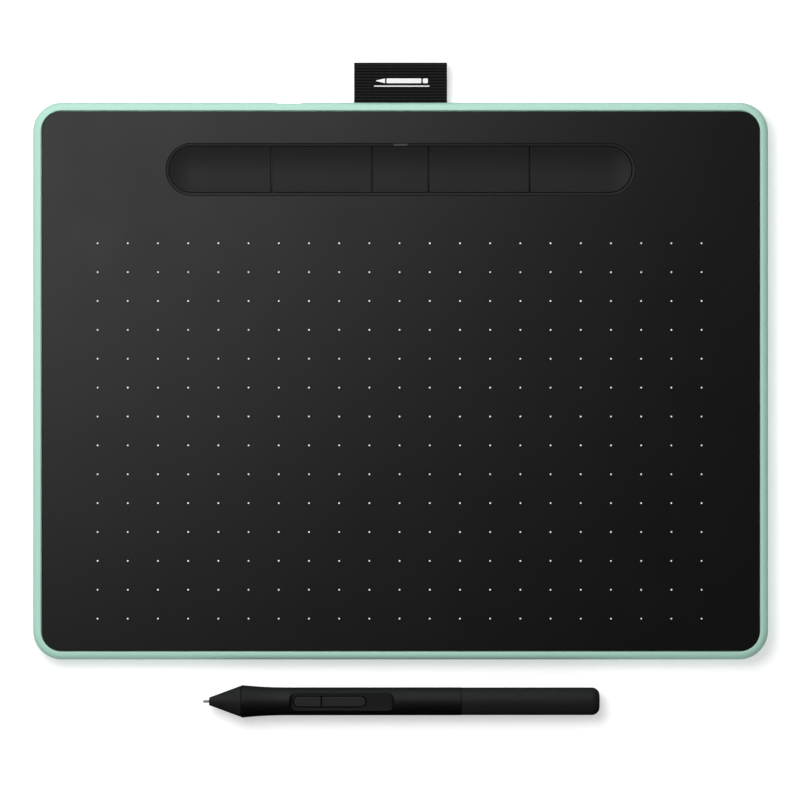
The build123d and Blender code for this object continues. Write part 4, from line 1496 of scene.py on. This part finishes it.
# ---- Pen --------------------------------------------------------------------
@dataclass
class Pen:
    """The pen, modelled about the X axis with its tip at the origin.

    Attributes:
        nib_tip: The radius of the nib's rounded end.
        nib_body: The radius of its shank.
        nib_neck: Where its neck begins and ends.
        nib_end: Where the shank ends.
        cone_front: Where the cone begins, and its radius there.
        cone_mouth: The radius of the hole that the nib comes out of.
        cone_mouth_end: Where the bore behind that hole begins.
        cone_bore: The radius of that bore.
        cone_lip: The rounding of the cone's mouth.
        seam: Where the cone meets the barrel, and the radius there.
        ridge: Where the barrel is thickest, and its radius.
        waist_end: Where the hollow behind the ridge ends.
        waist_steps: How many rings that hollow has.
        grip: The radius of the plain barrel.
        grip_end: Where the rear barrel begins.
        bore: The radius of the front barrel's inside.
        spigot: The radius of the spigot in the rear barrel, and its end.
        groove: The width and the depth of the grooves at the seams.
        cap: The radius of the rear barrel.
        cap_bore: The radius of its inside.
        cap_bore_end: Where its inside ends.
        length: How long the pen is.
        cap_round: The rounding of its rear end.
        facet: Where the flat on the front barrel begins and ends.
        facet_width: How wide the flat is.
        facet_corner: The radius of its corners.
        facet_height: How far it is from the pen's axis.
        facet_lean: How far its sides lean outwards.
        facet_edge: The rounding of its edges.
        switch: Where the two switches begin and end.
        switch_width: How wide they are.
        switch_low: How far their underside is from the axis.
        switch_top: How far their top is from the axis.
        switch_edge: The rounding of their edges.
        switch_gap: The room round them.
        slot_edge: The rounding of their slot's edge.
        split: Where the front switch ends.
        split_gap: The room between the two.
    """

    nib_tip: float = 0.5 * MM
    nib_body: float = 0.8 * MM
    nib_neck: tuple[float, float] = (3.2 * MM, 4.0 * MM)
    nib_end: float = 26.0 * MM
    cone_front: tuple[float, float] = (2.2 * MM, 1.45 * MM)
    cone_mouth: float = 0.6 * MM
    cone_mouth_end: float = 3.0 * MM
    cone_bore: float = 0.95 * MM
    cone_lip: float = 0.22 * MM
    seam: tuple[float, float] = (13.6 * MM, 5.6 * MM)
    ridge: tuple[float, float] = (14.2 * MM, 5.85 * MM)
    waist_end: float = 31.0 * MM
    waist_steps: int = 22
    grip: float = 5.01 * MM
    grip_end: float = 92.9 * MM
    bore: float = 3.2 * MM
    spigot: tuple[float, float] = (3.95 * MM, 99.9 * MM)
    groove: float = 0.12 * MM
    cap: float = 4.955 * MM
    cap_bore: float = 4.0 * MM
    cap_bore_end: float = 139.5 * MM
    length: float = 142.5 * MM
    cap_round: float = 2.8 * MM
    facet: tuple[float, float] = (31.9 * MM, 67.8 * MM)
    facet_width: float = 6.1 * MM
    facet_corner: float = 1.5 * MM
    facet_height: float = 3.95 * MM
    facet_lean: float = math.radians(40)
    facet_edge: float = 0.12 * MM
    switch: tuple[float, float] = (32.6 * MM, 58.5 * MM)
    switch_width: float = 3.6 * MM
    switch_low: float = 2.0 * MM
    switch_top: float = 4.25 * MM
    switch_edge: float = 0.28 * MM
    switch_gap: float = 0.3 * MM
    slot_edge: float = 0.1 * MM
    split: float = 42.6 * MM
    split_gap: float = 0.4 * MM

    def build(self) -> None:
        """Model the pen's outer pieces where the pen lies."""
        joint = next(j for j in frame["joints"] if j["name"] == "cap_pull")
        axis = Vector(joint["axis"])
        tilt = math.asin(-axis.z)
        low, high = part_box("nib")
        tip_z = self.ridge[0] * math.sin(tilt) + self.ridge[1] * math.cos(tilt)
        tip = Vector((low.x, (low.y + high.y) / 2, tip_z))
        self.frame = Matrix.Translation(tip) @ Matrix.Rotation(tilt, 4, "Y")
        self.build_nib()
        self.build_cone()
        self.build_grip()
        self.build_switches()
        self.build_cap()

    def build_nib(self) -> None:
        """Model the nib: round tip, neck and shank."""
        rings = arc((self.nib_tip, 0), self.nib_tip, 176, 90, 8)
        rings += [(self.nib_neck[0], self.nib_tip), (self.nib_neck[1], self.nib_body),
                  (self.nib_end, self.nib_body)]
        nib = turned("nib_tip", rings, 40)
        dress(nib.place(self.frame), NIB_GREY, "pen_nib", "nib_plastic", "nib")

    def build_cone(self) -> None:
        """Model the cone, with its rounded mouth and its bore."""
        front, front_radius = self.cone_front
        seam, seam_radius = self.seam
        lip = self.cone_lip
        slope = (seam_radius - front_radius) / (seam - front)
        lean = math.degrees(math.atan(slope))
        edge = arc((front + lip, front_radius - lip), lip, 180, 90 + lean, 4)
        groove = self.groove
        rings = [(self.cone_mouth_end + 4 * MM, self.cone_bore), (self.cone_mouth_end, self.cone_bore),
                 (self.cone_mouth_end, self.cone_mouth), (front, self.cone_mouth), *edge]
        steps = 10
        start = edge[-1]
        stop = (seam - groove, seam_radius - groove * slope)
        rings += [(start[0] + (stop[0] - start[0]) * n / steps,
                   start[1] + (stop[1] - start[1]) * n / steps) for n in range(1, steps + 1)]
        rings += [(seam, seam_radius - 1.4 * groove), (seam, 0.4 * seam_radius)]
        cone = turned("cone_shell", rings, 96)
        dress(cone.place(self.frame), CONE_BLACK, "pen", "pen_matte", "nib_cone")

    def waist_at(self, share: float) -> tuple[float, float]:
        """A ring of the waist, from the ridge at 0 to the plain barrel at 1."""
        (ridge_x, ridge_radius) = self.ridge
        x = ridge_x + (self.waist_end - ridge_x) * share
        return x, self.grip + (ridge_radius - self.grip) * (1 - share) ** 2.2

    def build_grip(self) -> None:
        """Model the front barrel: ridge, waist, plain stretch, flat, slot and spigot."""
        seam, seam_radius = self.seam
        groove = self.groove
        spigot, spigot_end = self.spigot
        ridge_x, ridge_radius = self.ridge
        rings = [(seam, self.bore), (seam, seam_radius - groove), (seam + groove, seam_radius)]
        rings += [(ridge_x - 0.25 * MM, ridge_radius - 0.04 * MM), (ridge_x, ridge_radius)]
        rings += [self.waist_at(n / self.waist_steps) for n in range(1, self.waist_steps + 1)]
        rings += [(self.grip_end - groove, self.grip), (self.grip_end, self.grip - groove),
                  (self.grip_end, spigot), (spigot_end - 0.3 * MM, spigot),
                  (spigot_end, spigot - 0.3 * MM), (spigot_end, self.bore)]
        barrel = turned("grip_barrel", rings, 96, tube=True)
        barrel.cut(self.facet_tool())
        barrel.round_edges(
            lambda s: self.facet[0] - 3 * MM < s.at.x < self.facet[1] + 3 * MM
            and s.at.z > self.facet_height - 0.05 * MM and s.fold > math.radians(18),
            self.facet_edge, 3)
        barrel.cut(plate("slot", self.switch_outline(self.switch_gap), 0, 2 * self.grip))
        barrel.round_edges(
            lambda s: abs(s.at.z - self.facet_height) < ON_LINE and s.fold > math.radians(60),
            self.slot_edge, 2)
        dress(barrel.place(self.frame), GRIP_BLACK, "pen", "grip", "front_barrel")

    def facet_tool(self) -> Shape:
        """Model the block that cuts the flat, with sides that lean outwards."""
        start, stop = self.facet
        middle = (start + stop) / 2
        height = self.ridge[1] - self.facet_height
        lean = height * math.tan(self.facet_lean)
        outline = Outline(stop - start, self.facet_width, self.facet_corner, (middle, 0), 12)
        tool = plate("facet", outline, self.facet_height, self.ridge[1])
        grow = ((outline.length + 2 * lean) / outline.length,
                (outline.width + 2 * lean) / outline.width, 1)
        with tool.picked(Kind.FACES, lambda s: s.facing.z > 0.9):
            bpy.ops.transform.resize(value=grow, center_override=(middle, 0, self.ridge[1]))
        return tool

    def switch_outline(self, grow: float) -> Outline:
        """The outline that the two switches share, grown all round."""
        start, stop = self.switch
        outline = Outline(stop - start, self.switch_width, self.switch_width / 2,
                          ((start + stop) / 2, 0), 16)
        return outline.grown(grow)

    def build_switches(self) -> None:
        """Model the two switches as one pill and part it."""
        both = plate("switch_bank", self.switch_outline(0), self.switch_low, self.switch_top)
        half = self.split_gap / 2
        for name, edge, away in (("front", self.split - half, 1), ("rear", self.split + half, -1)):
            switch = both.copy(f"switch_{name}_cap")
            switch.half_space(Vector((edge, 0, 0)), Vector((away, 0, 0)))
            switch.face_out()
            switch.round_edges(
                lambda s: s.at.z > self.switch_top - ON_LINE and s.fold > math.radians(50),
                self.switch_edge, 5)
            node = f"switch_{name}"
            dress(switch.place(self.frame), SWITCH_BLACK, "pen_" + node, "pen_matte", node)
        bpy.data.objects.remove(both.obj)

    def build_cap(self) -> None:
        """Model the rear barrel, round at its end and bored from the front."""
        groove = self.groove
        end = arc((self.length - self.cap_round, self.cap - self.cap_round), self.cap_round, 90, 0, 10)
        rings = [(self.cap_bore_end, self.cap_bore), (self.grip_end, self.cap_bore),
                 (self.grip_end, self.cap - groove), (self.grip_end + groove, self.cap), *end]
        cap = turned("rear_barrel_shell", rings, 96)
        dress(cap.place(self.frame), BARREL_BLACK, "pen_cap", "pen_matte", "rear_barrel")


# ---- Inside -----------------------------------------------------------------
@dataclass
class Insides:
    """The CAD's own inner pieces, which keep their shape and get their finish.

    Attributes:
        finishes: The nodes of each finish.
    """

    finishes: dict[Finish, tuple[str, ...]] = field(default_factory=lambda: {
        STEEL: ("board_screws", "loop_screws", "pen_domes"),
        TINNED: ("shield_can",),
        BOARD: ("main_board", "sensor_board", "pen_board"),
        COMPONENT: ("board_chips", "board_connectors", "key_switches"),
        FERRITE: ("antenna", "ferrite_core"),
        WINDOW: ("status_led",),
        CELL_POUCH: ("battery",),
        ADHESIVE: ("battery_tape", "sensor_adhesive"),
        WIRE_RED: ("battery_lead",),
        SHIELD: ("shield_plate",),
        RIBBON: ("sensor_flex",),
        COPPER: ("pen_coil",),
        NIB_GREY: ("spare_nibs",),
        INNER_PLASTIC: ("support_grid", "key_carrier", "loop_clamp", "pressure_cartridge",
                        "pen_cradle", "nib_caddy"),
    })

    def build(self) -> None:
        """Give each node its finish."""
        for finish, nodes in self.finishes.items():
            for node in nodes:
                materials = frame["nodes"][node].data.materials
                materials.clear()
                materials.append(finish.material())
                LOG.info("%s: %s", node, finish.name)


# ---- Studio -----------------------------------------------------------------
@dataclass(frozen=True)
class Lamp:
    """Square soft light, placed by its distance and direction from the tablet.

    Attributes:
        name: The lamp's name.
        distance: How far it hangs from the tablet's middle.
        azimuth: Its direction seen from above, in degrees from +X towards +Y.
        elevation: How high it stands over the table, in degrees.
        size: The length of its side.
        power: Its power in watts.
        glossy: Whether shiny surfaces mirror it.
    """

    name: str
    distance: float
    azimuth: float
    elevation: float
    size: float
    power: float
    glossy: bool = True

    def place(self) -> Vector:
        """Where the lamp hangs."""
        up, round_ = math.radians(self.elevation), math.radians(self.azimuth)
        flat = math.cos(up)
        return self.distance * Vector((flat * math.cos(round_), flat * math.sin(round_), math.sin(up)))


@dataclass
class Studio:
    """White table, soft light from the upper left and a camera straight above.

    Attributes:
        view_width: How wide the camera sees at the table.
        aim: The point that the camera looks down on.
        sensor: The width of the camera's sensor, in millimetres.
        lens: The camera's focal length, in millimetres.
        table: The length of the table's side.
        backdrop: The radius of the dome.
        key: The softbox that shiny surfaces mirror.
        key_fill: The softbox's other share, which gives only shade and colour.
        rear_card: The low bright card behind the tablet.
        room: The strength of the room's glow.
        table_glow: The strength of the table's glow.
        backdrop_glow: The strength of the dome's glow.
        table_drop: How far the table is under the feet.
    """

    view_width: float = 288.0 * MM
    aim: tuple[float, float] = (-0.21 * MM, -6.8 * MM)
    sensor: float = 36.0
    lens: float = 375.0
    table: float = 16.0
    backdrop: float = 8.0
    key: Lamp = Lamp("key_softbox", 0.6, 135, 65, 0.4, 0.95)
    key_fill: Lamp = Lamp("key_fill", 0.6, 135, 65, 0.4, 2.6, glossy=False)
    rear_card: Lamp = Lamp("rear_card", 1.2, 100, 27, 0.9, 2.6)
    room: float = 0.3
    table_glow: float = 0.44
    backdrop_glow: float = 0.92
    table_drop: float = 0.01 * MM

    def build(self) -> None:
        """Set the table, the lights and the camera."""
        self.build_camera()
        self.build_table()
        self.build_backdrop()
        self.build_light()

    def build_camera(self) -> None:
        """Hang the camera over the tablet, looking straight down."""
        data = bpy.data.cameras.new("camera")
        data.sensor_width = self.sensor
        data.lens = self.lens
        data.dof.use_dof = False
        height = self.view_width * self.lens / self.sensor
        data.clip_start, data.clip_end = 0.05, 20.0
        camera = bpy.data.objects.new("camera", data)
        camera.location = (*self.aim, height)
        bpy.context.scene.collection.objects.link(camera)
        bpy.context.scene.camera = camera

    def build_table(self) -> None:
        """Lay a white table just under the feet."""
        bpy.ops.object.select_all(action="DESELECT")
        bpy.ops.mesh.primitive_plane_add(size=self.table, location=(0, 0, -self.table_drop))
        table = bpy.context.active_object
        table.name = "table"
        wiring = Wiring("table_white")
        paper = wiring.noise(40 * MM, 3.0)
        wiring.feed(wiring.shader, {
            "Base Color": wiring.ramp(paper, (0.78, 0.78, 0.78), (0.79, 0.79, 0.79)),
            "Roughness": 0.9,
            "Specular IOR Level": 0.1,
            "Emission Color": (1, 1, 1, 1),
            "Emission Strength": self.table_glow,
        })
        table.data.materials.append(wiring.material)
        table.visible_glossy = False

    def build_backdrop(self) -> None:
        """Set a pale dome round the table, which only the camera sees."""
        bpy.ops.object.select_all(action="DESELECT")
        bpy.ops.mesh.primitive_uv_sphere_add(segments=48, ring_count=24, radius=self.backdrop)
        dome = bpy.context.active_object
        dome.name = "backdrop"
        wiring = Wiring("backdrop_white")
        haze = wiring.noise(2.0, 1.0)
        wiring.feed(wiring.shader, {
            "Base Color": wiring.ramp(haze, (0.0, 0.0, 0.0), (0.002, 0.002, 0.002)),
            "Emission Color": (1, 1, 1, 1),
            "Emission Strength": self.backdrop_glow,
        })
        dome.data.materials.append(wiring.material)
        dome.visible_diffuse = False
        dome.visible_glossy = False
        dome.visible_shadow = False

    def hang(self, lamp: Lamp) -> None:
        """Hang a lamp so that it shines on the tablet's middle.

        Args:
            lamp: The lamp.
        """
        data = bpy.data.lights.new(lamp.name, "AREA")
        data.shape = "SQUARE"
        data.size = lamp.size
        data.energy = lamp.power
        light = bpy.data.objects.new(lamp.name, data)
        light.location = lamp.place()
        light.rotation_euler = (-lamp.place()).to_track_quat("-Z", "Y").to_euler()
        light.visible_camera = False
        light.visible_glossy = lamp.glossy
        bpy.context.scene.collection.objects.link(light)

    def build_light(self) -> None:
        """Hang the softbox and the rear card, and give the room a dim even glow."""
        for lamp in (self.key, self.key_fill, self.rear_card):
            self.hang(lamp)
        world = bpy.data.worlds.new("room")
        world.use_nodes = True
        background = world.node_tree.nodes["Background"]
        background.inputs["Color"].default_value = (1, 1, 1, 1)
        background.inputs["Strength"].default_value = self.room
        world.cycles_visibility.glossy = False
        scene = bpy.context.scene
        scene.world = world
        scene.view_settings.view_transform = "Standard"
        scene.view_settings.look = "None"


def main() -> None:
    """Model the tablet and its pen, and set the studio."""
    logging.basicConfig(level=logging.INFO, format="%(name)s: %(message)s")
    Studio().build()
    channel = Channel()
    Casing().build()
    Panel(channel).build()
    Keys(channel).build()
    PenLoop().build()
    Port().build()
    Pen().build()
    Insides().build()


if __name__ == "__main__":
    main()
